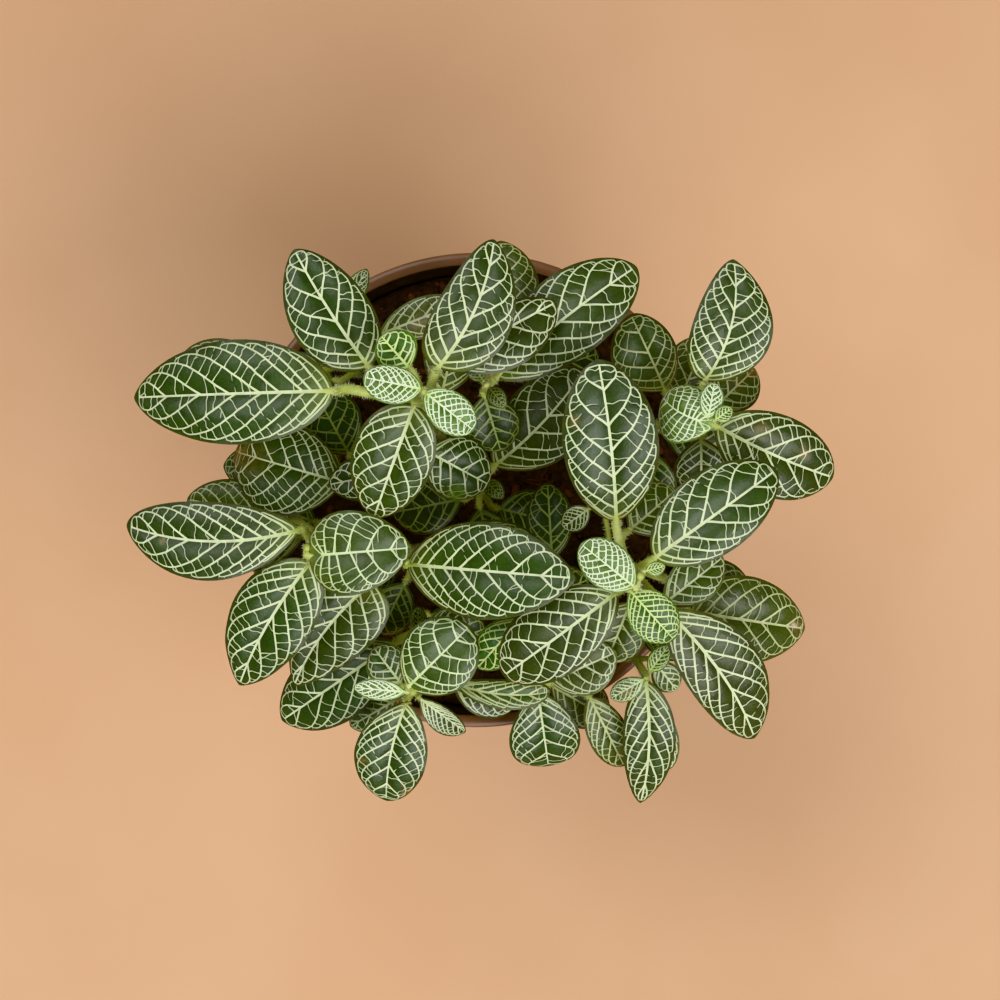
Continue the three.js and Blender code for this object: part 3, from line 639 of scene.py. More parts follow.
def bezier(points, steps):
    line = []
    for step in range(steps + 1):
        u = step / steps
        shares = ((1 - u) ** 3, 3 * u * (1 - u) ** 2, 3 * u * u * (1 - u), u ** 3)
        line.append(tuple(sum(s * p[axis] for s, p in zip(shares, points)) for axis in (0, 1)))
    return line


def run_of(path):
    return sum(math.dist(a, b) for a, b in zip(path, path[1:]))


def point_at(path, distance):
    for a, b in zip(path, path[1:]):
        step = math.dist(a, b)
        if 0 < step >= distance:
            u = distance / step
            return (a[0] + u * (b[0] - a[0]), a[1] + u * (b[1] - a[1]))
        distance -= step
    return path[-1]


def nearest_on(path, p):
    best = (1e9, p)
    for a, b in zip(path, path[1:]):
        dx = b[0] - a[0]
        dy = b[1] - a[1]
        square = dx * dx + dy * dy
        u = min(1, max(0, ((p[0] - a[0]) * dx + (p[1] - a[1]) * dy) / square)) if square else 0
        q = (a[0] + u * dx, a[1] + u * dy)
        best = min(best, (math.dist(p, q), q))
    return best


def side_veins(half, style, rng, stagger, heart):
    """The side veins of one half of a leaf, and the loops that join each to the next near the margin"""
    length = half.length
    inset = style["inset"]
    least, most = style["pairs"]
    count = min(most, max(least, round(length / style["pair_gap"])))
    crowd = style["crowd"] * (HEART_CROWD if heart else 1.0)
    starts = []
    ends = []
    for k in range(count):
        share = (k + stagger) / (count - 1 + stagger)
        root = FIRST_ROOT + style["last"] * share ** crowd
        sweep = style["sweep"] * root ** SWEEP_RISE * (1 - root) ** SWEEP_FALL
        start = (heart + (1 - heart) * root) * length
        end = (root + sweep - (HEART_PULL * (1 - share) if heart else 0)) * length
        starts.append(start + (rng.uniform(-ROOT_STRAY, ROOT_STRAY) * length if k else 0.0))
        ends.append(end + (rng.uniform(-ROOT_STRAY, ROOT_STRAY) * length if 0 < k < count - 1 else 0.0))
    curves = []
    for k, (start, end) in enumerate(zip(starts, ends)):
        rim = half.inside(end, RIM_INSET * inset)
        d = math.hypot(end - start, rim)
        turn = half.slope(end, inset) + math.radians(style["turn"])
        fan = style["fan"] * math.exp(-k / FAN_FADE)
        lead = math.atan2(rim, end - start) + math.radians(style["spread"] + fan)
        lead = min(lead, math.radians(WIDEST_LEAD))
        first = ROOT_HANDLE * d
        second = RIM_HANDLE * d
        path = bezier([(start, 0.0),
                       (start + first * math.cos(lead), first * math.sin(lead)),
                       (end - second * math.cos(turn), rim - second * math.sin(turn)),
                       (end, rim)], max(5, int(d / style["step"])))
        strayed = []
        for i, (x, y) in enumerate(path):
            bulge = math.sin(math.pi * i / (len(path) - 1))
            x += rng.uniform(-1, 1) * style["stray"] * bulge
            y += rng.uniform(-1, 1) * style["stray"] * bulge
            strayed.append((x, min(y, half.inside(x, inset * (RIM_INSET + BULGE_INSET * bulge)))))
        curves.append(strayed)
    tip = style["loop_tip"] * length
    loops = []
    for k, end in enumerate(ends):
        rim = half.inside(end, RIM_INSET * inset)
        if k + 1 == count:
            steps = max(4, int(1.3 * (tip - end) / style["step"]) + 1)
            path = []
            for i in range(steps + 1):
                turn = i / steps * math.pi / 2
                x = end + (tip - end) * math.sin(turn)
                path.append((x, min(rim * math.cos(turn), half.inside(x, TIP_INSET * inset))))
        else:
            ahead = curves[k + 1]
            join = point_at(ahead, style["join"] * run_of(ahead))
            d = math.dist((end, rim), join)
            along = half.slope(end, inset)
            arc = bezier([(end, rim),
                          (end + LOOP_HANDLE * d * math.cos(along), rim + LOOP_HANDLE * d * math.sin(along)),
                          (join[0] + JOIN_HANDLE[0] * d, join[1] + JOIN_HANDLE[1] * d),
                          join], max(4, int(1.3 * d / style["step"]) + 1))
            path = [(x, min(y, half.inside(x, LOOP_INSET * inset))) for x, y in arc]
        loops.append(path)
    return starts, curves, loops, tip


def tapered(path, first, last):
    total = run_of(path) or 1
    line = []
    run = 0.0
    for i, p in enumerate(path):
        run += math.dist(p, path[i - 1]) if i else 0
        line.append((p[0], p[1], first + (last - first) * run / total))
    return line


def cross_veins(style, rng, inner, outer, late):
    """Rungs from one side vein to what lies inside it. Some stop half way, as spurs, and some fork."""
    lines = []
    total = run_of(outer)
    gap = style["rung_gap"]
    s = gap * rng.uniform(*FIRST_RUNG) + late * total
    while s < total - 0.4 * gap:
        p = point_at(outer, s)
        s += gap * rng.uniform(*RUNG_GAPS) * (1.15 - 0.35 * s / total)
        _, q = nearest_on(inner, (p[0] + rng.uniform(*RUNG_SLIDE) * gap, p[1]))
        dist = math.dist(p, q)
        if dist < style["min_rung"] or (q[1] < 0.05 and rng.random() < style["plain"]):
            continue
        ux = (q[0] - p[0]) / dist
        uy = (q[1] - p[1]) / dist
        bends = [rng.uniform(-1, 1) * style["wiggle"] * min(1, dist / 3) for _ in range(2)]

        def between(u, bend):
            return (p[0] + (q[0] - p[0]) * u - uy * bend, p[1] + (q[1] - p[1]) * u + ux * bend)

        width = style["rung"] * rng.uniform(*RUNG_WIDTHS)
        chance = rng.random()
        if chance < style["spurs"]:
            lines.append(tapered([p, between(rng.uniform(*NEAR_SPUR), bends[0])], width, 0.45 * width))
            lines.append(tapered([q, between(rng.uniform(*FAR_SPUR), bends[1])], width, 0.45 * width))
            continue
        if chance < 2 * style["spurs"]:
            points = [between(u, bend) for u, bend in zip(LONG_SPUR, bends)]
            lines.append(tapered([p] + points, width, 0.4 * width))
            continue
        middle = [between(0.5, bends[0])]
        if dist > BENT_TWICE:
            middle = [between(u, bend) for u, bend in zip(THIRDS, bends)]
        waist = [(*m, RUNG_WAIST * width) for m in middle]
        lines.append([(*p, RUNG_FOOT * width)] + waist + [(*q, RUNG_FOOT * width)])
        if dist > FORK_FROM and rng.random() < style["forks"]:
            root = middle[rng.randrange(len(middle))]
            way = rng.choice((-1, 1)) * rng.uniform(*FORK_REACH) * gap
            _, end = nearest_on(rng.choice((inner, outer)), (root[0] - uy * way, root[1] + ux * way))
            if rng.random() < OPEN_FORKS:
                end = [OPEN_FORK_RUN * b + (1 - OPEN_FORK_RUN) * a for a, b in zip(root, end)]
            lines.append(tapered([root, end], 0.9 * width, 0.75 * width))
    return lines


def margin_spurs(half, style, rng, loops):
    """Short thin veins from the loops out towards the margin, here and there joined to a small arc"""
    lines = []
    inset = style["inset"]
    width = MARGIN_SPUR_WIDTH * style["rung"]
    for loop in loops:
        total = run_of(loop)
        s = rng.uniform(*FIRST_MARGIN_SPUR) * style["rung_gap"]
        while s < total:
            a = point_at(loop, s)
            s += rng.uniform(*MARGIN_SPUR_GAPS) * style["rung_gap"]
            if a[0] > LAST_MARGIN_SPUR * half.length or rng.random() > style["outer"]:
                continue
            x = a[0] + rng.uniform(*MARGIN_SPUR_LEAN)
            b = (x, half.inside(x, inset * rng.uniform(*MARGIN_SPUR_INSETS)))
            if b[1] < a[1] + LEAST_MARGIN_SPUR:
                continue
            lines.append(tapered([a, b], width, 0.5 * width))
            if rng.random() < SMALL_ARCS:
                c = point_at(loop, min(total, s))
                x = 0.5 * (b[0] + c[0])
                middle = (x, half.inside(x, 0.45 * inset))
                if c[0] > b[0] + LEAST_ARC and middle[1] > 0:
                    lines.append(tapered([b, middle, c], 0.8 * width, 0.8 * width))
    return lines


def vein_net(halves, style, rng, heart):
    """Every vein of a leaf as a line of (x, y, width)"""
    length = halves[1].length
    tip = style["loop_tip"] * length
    shares = np.linspace(0, 1, 15)
    root = heart * length
    lines = [[(root + (tip - root) * u, 0.0, style["midrib"] * (1 - 0.55 * u ** 0.8)) for u in shares]]
    for way, half in halves.items():
        net = []
        stagger = 0.0 if way > 0 else style["stagger"]
        starts, curves, loops, tip = side_veins(half, style, rng, stagger, heart)
        side = style["secondary"]
        for k, path in enumerate(curves):
            net.append(tapered(path, side * (0.75 if k == 0 else 1.15), 0.7 * side))
            net.append(tapered(loops[k], 0.66 * side, 0.55 * side))
            inner = [(starts[k], 0.0)]
            if k + 1 < len(curves):
                inner += [(starts[k + 1], 0.0)] + curves[k + 1][1:]
            else:
                inner += [(tip, 0.0)]
            late = style["late"] if k else 0.05
            net += cross_veins(style, rng, inner, path + loops[k][1:], late)
        if style["outer"]:
            net += margin_spurs(half, style, rng, loops)
        lines += [[(x, way * y, width) for x, y, width in line] for line in net]
    return lines


def strip_quads(line):
    """The four-cornered pieces of a vein, mitred where it bends"""
    points = np.array([p[:2] for p in line])
    widths = np.array([p[2] for p in line])
    lengths = np.linalg.norm(np.diff(points, axis=0), axis=1)
    keep = np.r_[True, lengths > 1e-3]
    points = points[keep]
    widths = widths[keep]
    if len(points) < 2:
        return []
    steps = np.diff(points, axis=0)
    steps /= np.linalg.norm(steps, axis=1)[:, None]
    ways = np.vstack([steps[:1], steps[:-1] + steps[1:], steps[-1:]])
    ways /= np.maximum(np.linalg.norm(ways, axis=1), 1e-9)[:, None]
    normals = np.stack([-ways[:, 1], ways[:, 0]], axis=1)
    left = points + normals * widths[:, None] / 2
    right = points - normals * widths[:, None] / 2
    quads = []
    for i, step in enumerate(steps):
        quad = [right[i], right[i + 1], left[i + 1], left[i]]
        if min((quad[1] - quad[0]) @ step, (quad[2] - quad[3]) @ step) < 0.02:
            across = np.array([-step[1], step[0]]) * widths[i] / 2
            quad = [points[i] - across, points[i + 1] - across, points[i + 1] + across, points[i] + across]
        quads.append(quad)
    return quads


def margin_points(halves, count):
    """The leaf's outline, from the base round the tip and back, anticlockwise"""
    x = halves[1].length * (0.5 - 0.5 * np.cos(np.linspace(0, math.pi, count + 1)))
    lower = np.stack([x, -halves[-1].reach(x)], axis=1)
    upper = np.stack([x, halves[1].reach(x)], axis=1)[::-1]
    return np.vstack([lower, upper[1:-1]])


def grid_points(halves, spacing, inset, rng):
    """Points on a slightly uneven grid of triangles, clear of the margin"""
    points = []
    row = 0
    length = halves[1].length
    y = -halves[-1].width
    while y < halves[1].width:
        x = 0.5 * spacing if row % 2 else 0.0
        while x < length:
            px = x + rng.uniform(-GRID_STRAY, GRID_STRAY) * spacing
            py = y + rng.uniform(-GRID_STRAY, GRID_STRAY) * spacing
            half = halves[1 if py > 0 else -1]
            if abs(py) < half.inside(px, inset) and inset < px < length - inset:
                points.append((px, py))
            x += spacing
        y += spacing * ROW_GAP
        row += 1
    return np.array(points).reshape(-1, 2)


def distances(points, starts, stops):
    """How far each point is from each of many line pieces"""
    way = stops - starts
    square = np.maximum((way ** 2).sum(1), 1e-12)
    u = ((points[:, None, :] - starts[None]) * way[None]).sum(2) / square[None]
    u = np.clip(u, 0, 1)
    near = starts[None] + u[..., None] * way[None]
    return np.linalg.norm(points[:, None, :] - near, axis=2)


def distance_to(points, starts, stops, half_widths=0.0):
    """How far each point is from the nearest of many line pieces"""
    return (distances(points, starts, stops) - half_widths).min(1)


class Placed:
    """Where a leaf is: its base, chord, side direction and the direction it faces, in millimetres"""

    def __init__(self, leaf):
        self.name, base, tip, self.width, self.age, *bends = leaf
        self.bends = bends[0] if bends else {}
        self.start = np.array(base, float)
        self.chord = np.array(tip, float) - self.start
        self.length = float(np.linalg.norm(self.chord))
        self.along = self.chord / self.length
        level = np.cross([0, 0, 1.0], self.along)
        self.side = level / np.linalg.norm(level)
        self.up = np.cross(self.along, self.side)
        self.colours = {part: np.array(linear(value)) for part, value in AGES[self.age].items()}
        self.peak = self.bends.get("peak", BLADE_PEAK)
        self.slimness = self.bends.get("slim", BLADE_SLIMNESS)
        self.halves = {}
        for way in (1, -1):
            reach = self.width / 2 * (1 + way * self.bends.get("uneven", 0))
            self.halves[way] = HalfLeaf(self.length, reach, self.peak, self.slimness)
        self.waves = (0.0, 1.0, 0.0)

    def surface(self, points, lift):
        """Flat leaf points raised by lift, in place on the curved leaf"""
        x = points[:, 0]
        y = points[:, 1]
        t = np.clip(x / self.length, 0, 1)
        share = outline(t, self.peak, self.slimness)
        reach = np.where(y > 0, self.halves[1].width, self.halves[-1].width) * share
        v = np.clip(np.abs(y) / np.maximum(reach, 1e-6), 0, 1)
        arch = 4 * t * (1 - t)
        bow = self.bends.get("bow", BLADE_BOW * self.length) * arch
        cup = self.bends.get("cup", 0) * (v * share) ** 2
        crest = BLADE_CREST * self.width * share * (1 - (2 * v - 1) ** 2)
        height, rate, phase = self.waves
        wave = height * v ** 2 * arch * np.sin(rate * x + phase + np.where(y > 0, 0.0, 2.1))
        rise = bow + cup + crest + wave + lift
        sway = self.bends.get("sway", 0) * arch + y
        return self.start + t[:, None] * self.chord + rise[:, None] * self.up + sway[:, None] * self.side


def thickness(from_margin):
    return BLADE_EDGE + BLADE_SWELL * (1 - np.exp(-from_margin / BLADE_THICKENS_IN))


def style_of(placed):
    if placed.width < SMALL_FROM:
        return VEIN_STYLES["tiny"]
    broad_lime = placed.age == "lime" and placed.width > BROAD_LIME_FROM
    if placed.age == "young" or placed.width < MEDIUM_FROM or broad_lime:
        return VEIN_STYLES["small"]
    return VEIN_STYLES["large" if placed.length > LARGE_FROM else "medium"]


def turned_up(verts, tris):
    """The same triangles, all anticlockwise"""
    a, b, c = (verts[tris[:, corner]] for corner in range(3))
    area = (b[:, 0] - a[:, 0]) * (c[:, 1] - a[:, 1]) - (b[:, 1] - a[:, 1]) * (c[:, 0] - a[:, 0])
    tris[area < 0] = tris[area < 0][:, ::-1]
    return tris


def vein_faces(halves, style, rng, heart):
    """The leaf's upper face cut into triangles along its veins: points, triangles, which of them are vein,
    and the veins' middle lines"""
    margin = margin_points(halves, MARGIN_STEPS)
    lines = vein_net(halves, style, rng, heart)
    quads = [quad for line in lines for quad in strip_quads(line)]
    steps = [(line[i], line[i + 1]) for line in lines for i in range(len(line) - 1)]
    starts = np.array([a[:2] for a, b in steps])
    stops = np.array([b[:2] for a, b in steps])
    half_widths = np.array([(a[2] + b[2]) / 4 for a, b in steps])
    inner = grid_points(halves, style["grid"], GRID_INSET, rng)
    clear = distance_to(inner, starts, stops, half_widths[None])
    inner = inner[clear > VEIN_CLEARANCE]
    centre = np.array([halves[1].length * 0.5, 0.0])
    inward = centre - margin
    pulled = margin + inward / np.linalg.norm(inward, axis=1)[:, None] * PULLED_MARGIN
    points = [Vector(p) for p in margin]
    faces = [list(range(len(margin)))]
    for quad in quads:
        first = len(points)
        points += [Vector(p) for p in quad]
        faces.append([first, first + 1, first + 2, first + 3])
    points += [Vector(p) for p in pulled] + [Vector(p) for p in inner]
    verts, _, tris, _, _, sources = delaunay_2d_cdt(points, [], faces, 1, WELD)
    verts = np.array([tuple(v) for v in verts])
    kept = np.array([tri for tri, source in zip(tris, sources) if 0 in source])
    veined = np.array([any(s > 0 for s in source) for source in sources if 0 in source])
    middles = verts[kept].mean(1)
    veined &= distance_to(middles, starts, stops, half_widths[None]) < VEIN_SLACK
    used, kept = renumbered(kept)
    verts = verts[used]
    return verts, turned_up(verts, kept), veined, (starts, stops, half_widths)


def boundary_edges(tris):
    """Edges that only one triangle has, in that triangle's direction"""
    seen = {}
    for tri in tris.tolist():
        for i in range(3):
            a = tri[i]
            b = tri[(i + 1) % 3]
            if (b, a) in seen:
                del seen[(b, a)]
            else:
                seen[(a, b)] = True
    return list(seen)


def blend(a, b, share):
    share = np.clip(share, 0, 1)[:, None]
    return a * (1 - share) + b * share


def marked(tint, flat, placed, marks):
    """Point colours with the leaf's marks of age put on"""
    for along, left, radius, strength, colour in marks:
        place = np.array([along * placed.length, left])
        far = np.linalg.norm(flat - place, axis=1) / radius
        ragged = [MARK_MEAN + MARK_RAGGED * noise.noise(Vector((x, y, radius))) for x, y in flat]
        tint = blend(tint, np.array(linear(colour)), strength * np.array(ragged) * np.exp(-far ** 2))
    return tint


def around(loop):
    """The line pieces that close a loop of points, as their starts and stops"""
    return loop, np.roll(loop, -1, axis=0)


def renumbered(tris):
    """The points that some triangles use, and the triangles in terms of those"""
    used, places = np.unique(tris, return_inverse=True)
    return used, places.reshape(tris.shape)


def upper_tints(placed, verts, clear, rim, marks, rng):
    """Colours of the upper face: those of its age, then darker along the veins as painted shade, where the
    blade dips into them, and browner at the margin
    """
    colours = placed.colours
    own = np.array([rng.uniform(*spread) for spread in OWN_SHADE] + [1.0])
    near_base = BASE_STRENGTH * np.exp(-verts[:, 0] / (BASE_REACH * placed.length))
    tint = blend(np.tile(colours["blade"] * own, (len(verts), 1)), colours["base"], near_base)
    # Painted shade: the blade is darkened where it dips down into the veins
    tint = tint * (1 - VEIN_PAINTED_SHADE * np.exp(-(clear / VEIN_PAINTED_SHADE_REACH) ** 2))[:, None]
    tint = blend(tint, colours["edge"], np.clip(1 - rim / EDGE_BAND, 0, 1))
    return marked(tint, verts, placed, marks)


def underside(placed, style, edges, verts, margin, marks, rng):
    """The underside, of larger triangles inside the upper face's border, and the wall between them"""
    after = dict(edges)
    border = [edges[0][0]]
    while after[border[-1]] != border[0]:
        border.append(after[border[-1]])
    coarse = grid_points(placed.halves, UNDER_GRID * style["grid"], UNDER_INSET, rng)
    points = [Vector(p) for p in verts[border]] + [Vector(p) for p in coarse]
    low, _, tris, _, _, _ = delaunay_2d_cdt(points, [], [list(range(len(border)))], 1, WELD)
    low = np.array([tuple(v) for v in low])
    tris = turned_up(low, np.array([list(t) for t in tris]))[:, ::-1]
    tints = marked(np.tile(np.array(linear(UNDERSIDE)), (len(low), 1)), low, placed, marks)
    nearest = np.linalg.norm(verts[border][:, None] - low[None], axis=2).argmin(1) + len(verts)
    under = dict(zip(border, nearest.tolist()))
    wall = []
    for i, j in edges:
        wall.append((i, under[j], j))
        if under[i] != under[j]:
            wall.append((i, under[i], under[j]))
    bottom = placed.surface(low, -thickness(distance_to(low, *around(margin))))
    return bottom, (tris + len(verts)).tolist() + wall, tints


def vein_part(placed, verts, tris, rim, middles, marks):
    """The veins, right through the blade and a little proud of both faces"""
    starts, stops, half_widths = middles
    used, tris = renumbered(tris)
    flat = verts[used]
    count = len(flat)
    size = np.clip(rim[used] / VEIN_FULL_FROM, LEAST_VEIN_RISE, 1)
    upper = placed.surface(flat, VEIN_RISE * size)
    lower = placed.surface(flat, -thickness(rim[used]) - VEIN_DROP * size)
    sides = []
    for i, j in boundary_edges(tris):
        sides += [(i, i + count, j + count), (i, j + count, j)]
    colours = placed.colours
    widest = half_widths[(distances(flat, starts, stops) - half_widths[None]).argmin(1)]
    thin = np.clip((THICK_VEIN - widest) / (THICK_VEIN - THIN_VEIN), 0, 1)
    shade = blend(np.tile(colours["vein"], (count, 1)), colours["blade"], THIN_VEIN_FADE * thin)
    foot = np.exp(-flat[:, 0] / (VEIN_BASE_REACH * placed.length))
    near_midrib = np.exp(-np.abs(flat[:, 1]) / MIDRIB_REACH)
    greened = VEIN_BASE_STRENGTH * foot * (1 - MIDRIB_SHARE + MIDRIB_SHARE * near_midrib)
    shade = blend(shade, colours["base"], greened)
    shade = marked(shade, flat, placed, marks)
    under = np.tile(np.array(linear(UNDERSIDE_VEIN)), (count, 1))
    faces = tris.tolist() + (tris[:, ::-1] + count).tolist() + sides
    return np.vstack([upper, lower]), faces, np.vstack([shade, under])


def leaf_parts(placed, marks, rng):
    """A leaf's blade and its veins, each as points, triangles and a tint for every point"""
    halves = placed.halves
    style = style_of(placed)
    height = rng.uniform(*WAVE_HEIGHTS) * min(1, placed.width / FULL_WAVES_FROM)
    placed.waves = (height, rng.uniform(*WAVE_RATES), rng.uniform(0, 6.28))
    verts, tris, veined, middles = vein_faces(halves, style, rng, placed.bends.get("heart", 0))
    starts, stops, half_widths = middles
    margin = margin_points(halves, FINE_MARGIN_STEPS)
    rim = distance_to(verts, *around(margin))
    clear = np.maximum(distance_to(verts, starts, stops, half_widths[None]), 0)
    swollen = 1 - np.exp(-clear / (0.9 * style["grid"]))
    puff = style["puff"] * swollen * np.clip(rim / PUFF_FROM_RIM, 0, 1)
    puff[np.unique(tris[veined])] = 0
    top = placed.surface(verts, puff)
    tint = upper_tints(placed, verts, clear, rim, marks, rng)
    edges = boundary_edges(tris)
    bottom, low_faces, low_tint = underside(placed, style, edges, verts, margin, marks, rng)
    blade = (np.vstack([top, bottom]), tris.tolist() + low_faces, np.vstack([tint, low_tint]))
    return blade, vein_part(placed, verts, tris[veined], rim, middles, marks)


# Stems, stalks and hairs

def stem_point(stem, height):
    root = stem["root"]
    top = stem["top"]
    rise = max(0.0, (height - STEM_STRAIGHT_TO) / (top[2] - STEM_STRAIGHT_TO))
    lean = rise ** STEM_LEAN_POWER
    return np.array([root[0] + (top[0] - root[0]) * lean, root[1] + (top[1] - root[1]) * lean, height])


def smooth_line(points, steps):
    """A Catmull-Rom line through the points"""
    points = [2 * points[0] - points[1], *points, 2 * points[-1] - points[-2]]
    line = []
    for a, b, c, d in zip(points, points[1:], points[2:], points[3:]):
        for step in range(steps):
            u = step / steps
            line.append(0.5 * (2 * b + (c - a) * u + (2 * a - 5 * b + 4 * c - d) * u ** 2
                               + (3 * b - a - 3 * c + d) * u ** 3))
    return np.array(line + [points[-2]])


def tube(line, radii, sides):
    """A closed tube round a line, with its ring directions for the hairs"""
    way = np.gradient(line, axis=0)
    way /= np.linalg.norm(way, axis=1)[:, None]
    across = np.cross(way, NO_STEMS_WAY)
    across /= np.linalg.norm(across, axis=1)[:, None]
    other = np.cross(way, across)
    angles = 2 * math.pi * np.arange(sides) / sides
    round_it = (np.cos(angles)[None, :, None] * across[:, None]
                + np.sin(angles)[None, :, None] * other[:, None])
    rings = line[:, None] + radii[:, None, None] * round_it
    points = np.vstack([rings.reshape(-1, 3), line[:1], line[-1:]])
    faces = []
    for row in range(len(line) - 1):
        for side in range(sides):
            a = row * sides + side
            b = row * sides + (side + 1) % sides
            faces.append((a, b, b + sides, a + sides))
    last = (len(line) - 1) * sides
    for side in range(sides):
        faces.append((len(points) - 2, (side + 1) % sides, side))
        faces.append((len(points) - 1, last + side, last + (side + 1) % sides))
    return points, faces, (way, across, other)


def stalk_line(stem, placed):
    start = placed.start
    reach = math.dist(stem_point(stem, start[2])[:2], start[:2])
    foot = min(start[2] - STALK_DROP - STALK_SLOPE * reach, stem["top"][2] - STALK_BELOW_TOP)
    sunk = -placed.up * STALK_SINK * SOLID_BLADE
    end = placed.surface(np.array([[STALK_ROOT * placed.length, 0.0]]), np.array([0.0]))[0] + sunk
    neck = start - placed.along * STALK_NECK * reach + sunk
    return smooth_line([stem_point(stem, foot), neck, start + sunk, end], 5)


def hairs_on(line, radii, directions, per_mm, length, rng):
    """Thin pointed hairs that stand out of a stem, each with three sides"""
    way, across, other = directions
    points = []
    faces = []
    total = float(np.linalg.norm(np.diff(line, axis=0), axis=1).sum())
    for _ in range(int(total * per_mm)):
        place = rng.uniform(0, len(line) - 1.001)
        i = int(place)
        u = place - i
        angle = rng.uniform(0, 2 * math.pi)
        out = math.cos(angle) * across[i] + math.sin(angle) * other[i]
        centre = line[i] * (1 - u) + line[i + 1] * u
        radius = radii[i] * (1 - u) + radii[i + 1] * u
        turn = np.cross(way[i], out)
        lean = out + way[i] * rng.uniform(*HAIR_LEAN) + turn * rng.uniform(-HAIR_TURN, HAIR_TURN)
        lean /= np.linalg.norm(lean)
        root = centre + out * radius * HAIR_ROOT
        tip = root + lean * length * rng.uniform(*HAIR_LENGTHS)
        first = len(points)
        for corner in range(3):
            a = 2 * math.pi * corner / 3
            points.append(root + HAIR_RADIUS * (math.cos(a) * way[i] + math.sin(a) * turn))
        points.append(tip)
        faces += [(first, first + 1, first + 3), (first + 1, first + 2, first + 3),
                  (first + 2, first, first + 3), (first, first + 2, first + 1)]
    return np.array(points).reshape(-1, 3), faces


# The leafy stems

def growing_tip(stem):
    """A pair of tiny leaves on top of a stem, set across its uppermost leaf"""
    x, y, top = stem["top"]
    _, base, tip, *_ = stem["leaves"][0]
    run = math.dist(base[:2], tip[:2])
    across = ((base[1] - tip[1]) / run, (tip[0] - base[0]) / run)
    pair = []
    for name, way in (("tip_left", 1), ("tip_right", -1)):
        ends = [[x + way * reach * across[0], y + way * reach * across[1], top + rise]
                for reach, rise in zip(TIP_REACH, TIP_RISE)]
        # The tiny leaves take the colours darkened as painted shade
        pair.append([name, *ends, TIP_WIDTH, "dim", dict(bow=TIP_BOW)])
    return pair


def add_tube(line, radii, sides, hairy, hairs_per_mm, hair_length, rng, tubes, hairs):
    """A stem or stalk, with hairs on the part of it that hairy picks"""
    points, faces, directions = tube(line, radii, sides)
    tubes.append((points, faces))
    directions = [d[hairy] for d in directions]
    hairs.append(hairs_on(line[hairy], radii[hairy], directions, hairs_per_mm, hair_length, rng))


for stem_name, stem in STEMS.items():
    rng = random.Random(stem_name)
    blades = []
    veins = []
    tubes = []
    hairs = []
    heights = np.linspace(STEM_FOOT, stem["top"][2], STEM_STEPS)
    line = [stem_point(stem, height) for height in heights]
    rise = line[-1] - line[-2]
    rise /= np.linalg.norm(rise)
    line = np.array(line + [line[-1] + rise * up for up in BUD_RISE])
    girth = np.r_[np.linspace(STEM_FOOT_GIRTH, BUD_GIRTH[0], STEM_STEPS), BUD_GIRTH[1:]]
    bare = (line[:, 2] > SOIL_TOP) & (line[:, 2] < stem["top"][2] + 0.1)
    add_tube(line, STEM_RADIUS * girth, STEM_SIDES, bare, STEM_HAIRS_PER_MM, HAIR_LENGTH, rng, tubes, hairs)
    for leaf in stem["leaves"] + (growing_tip(stem) if stem_name in SHADED_TIPS else []):
        placed = Placed(leaf)
        blade, vein = leaf_parts(placed, MARKS.get((stem_name, placed.name), []), rng)
        blades.append(blade)
        veins.append(vein)
        stalk = stalk_line(stem, placed)
        thick = STALK_LEAST_RADIUS + STALK_RADIUS_PER_WIDTH * placed.width
        radii = thick * np.interp(np.linspace(0, 1, len(stalk)), STALK_GIRTH_AT, STALK_GIRTH)
        bare = slice(len(stalk) * 2 // 3 + 1)
        add_tube(stalk, radii, STALK_SIDES, bare, STALK_HAIRS_PER_MM, 0.9 * HAIR_LENGTH, rng, tubes, hairs)
    finish_piece(mesh_piece(f"{stem_name}_blades", blades, BLADE, BLADE_SMOOTH), stem_name)
    finish_piece(mesh_piece(f"{stem_name}_veins", veins, VEIN, VEIN_SMOOTH))
    finish_piece(mesh_piece(f"{stem_name}_stalks", tubes, SKIN, STALK_SMOOTH))
    finish_piece(mesh_piece(f"{stem_name}_hairs", hairs, HAIR))


# Pot

def wall_radius(height):
    """The pot's outer radius under its band"""
    return POT_BASE_RADIUS + (POT_TOP_RADIUS - POT_BASE_RADIUS) * height / POT_HEIGHT


def drawn_up(name, profile, sides):
    """A round solid: a disc drawn up ring by ring through a profile of (radius, height) points"""
    bpy.ops.object.select_all(action="DESELECT")
    radius, height = profile[0]
    bpy.ops.mesh.primitive_circle_add(vertices=sides, radius=radius * MM, fill_type="NGON",
                                      location=(0, 0, height * MM))
    piece = bpy.context.object
    piece.name = name
    piece.data.name = name
    bpy.ops.object.transform_apply(location=True, rotation=False, scale=False)
    bpy.ops.object.mode_set(mode="EDIT")
    bpy.ops.mesh.select_all(action="SELECT")
    for next_radius, next_height in profile[1:]:
        rise = (0, 0, (next_height - height) * MM)
        bpy.ops.mesh.extrude_region_move(TRANSFORM_OT_translate={"value": rise})
        share = next_radius / radius
        bpy.ops.transform.resize(value=(share, share, 1), center_override=(0, 0, next_height * MM))
        radius = next_radius
        height = next_height
    return piece


def all_outward():
    bpy.ops.mesh.select_all(action="SELECT")
    bpy.ops.mesh.normals_make_consistent(inside=False)
    bpy.ops.object.mode_set(mode="OBJECT")


def apply_modifier(piece, kind, **settings):
    made = piece.modifiers.new(kind.lower(), kind)
    for key, value in settings.items():
        setattr(made, key, value)
    bpy.ops.object.select_all(action="DESELECT")
    bpy.context.view_layer.objects.active = piece
    piece.select_set(True)
    bpy.ops.object.modifier_apply(modifier=made.name)


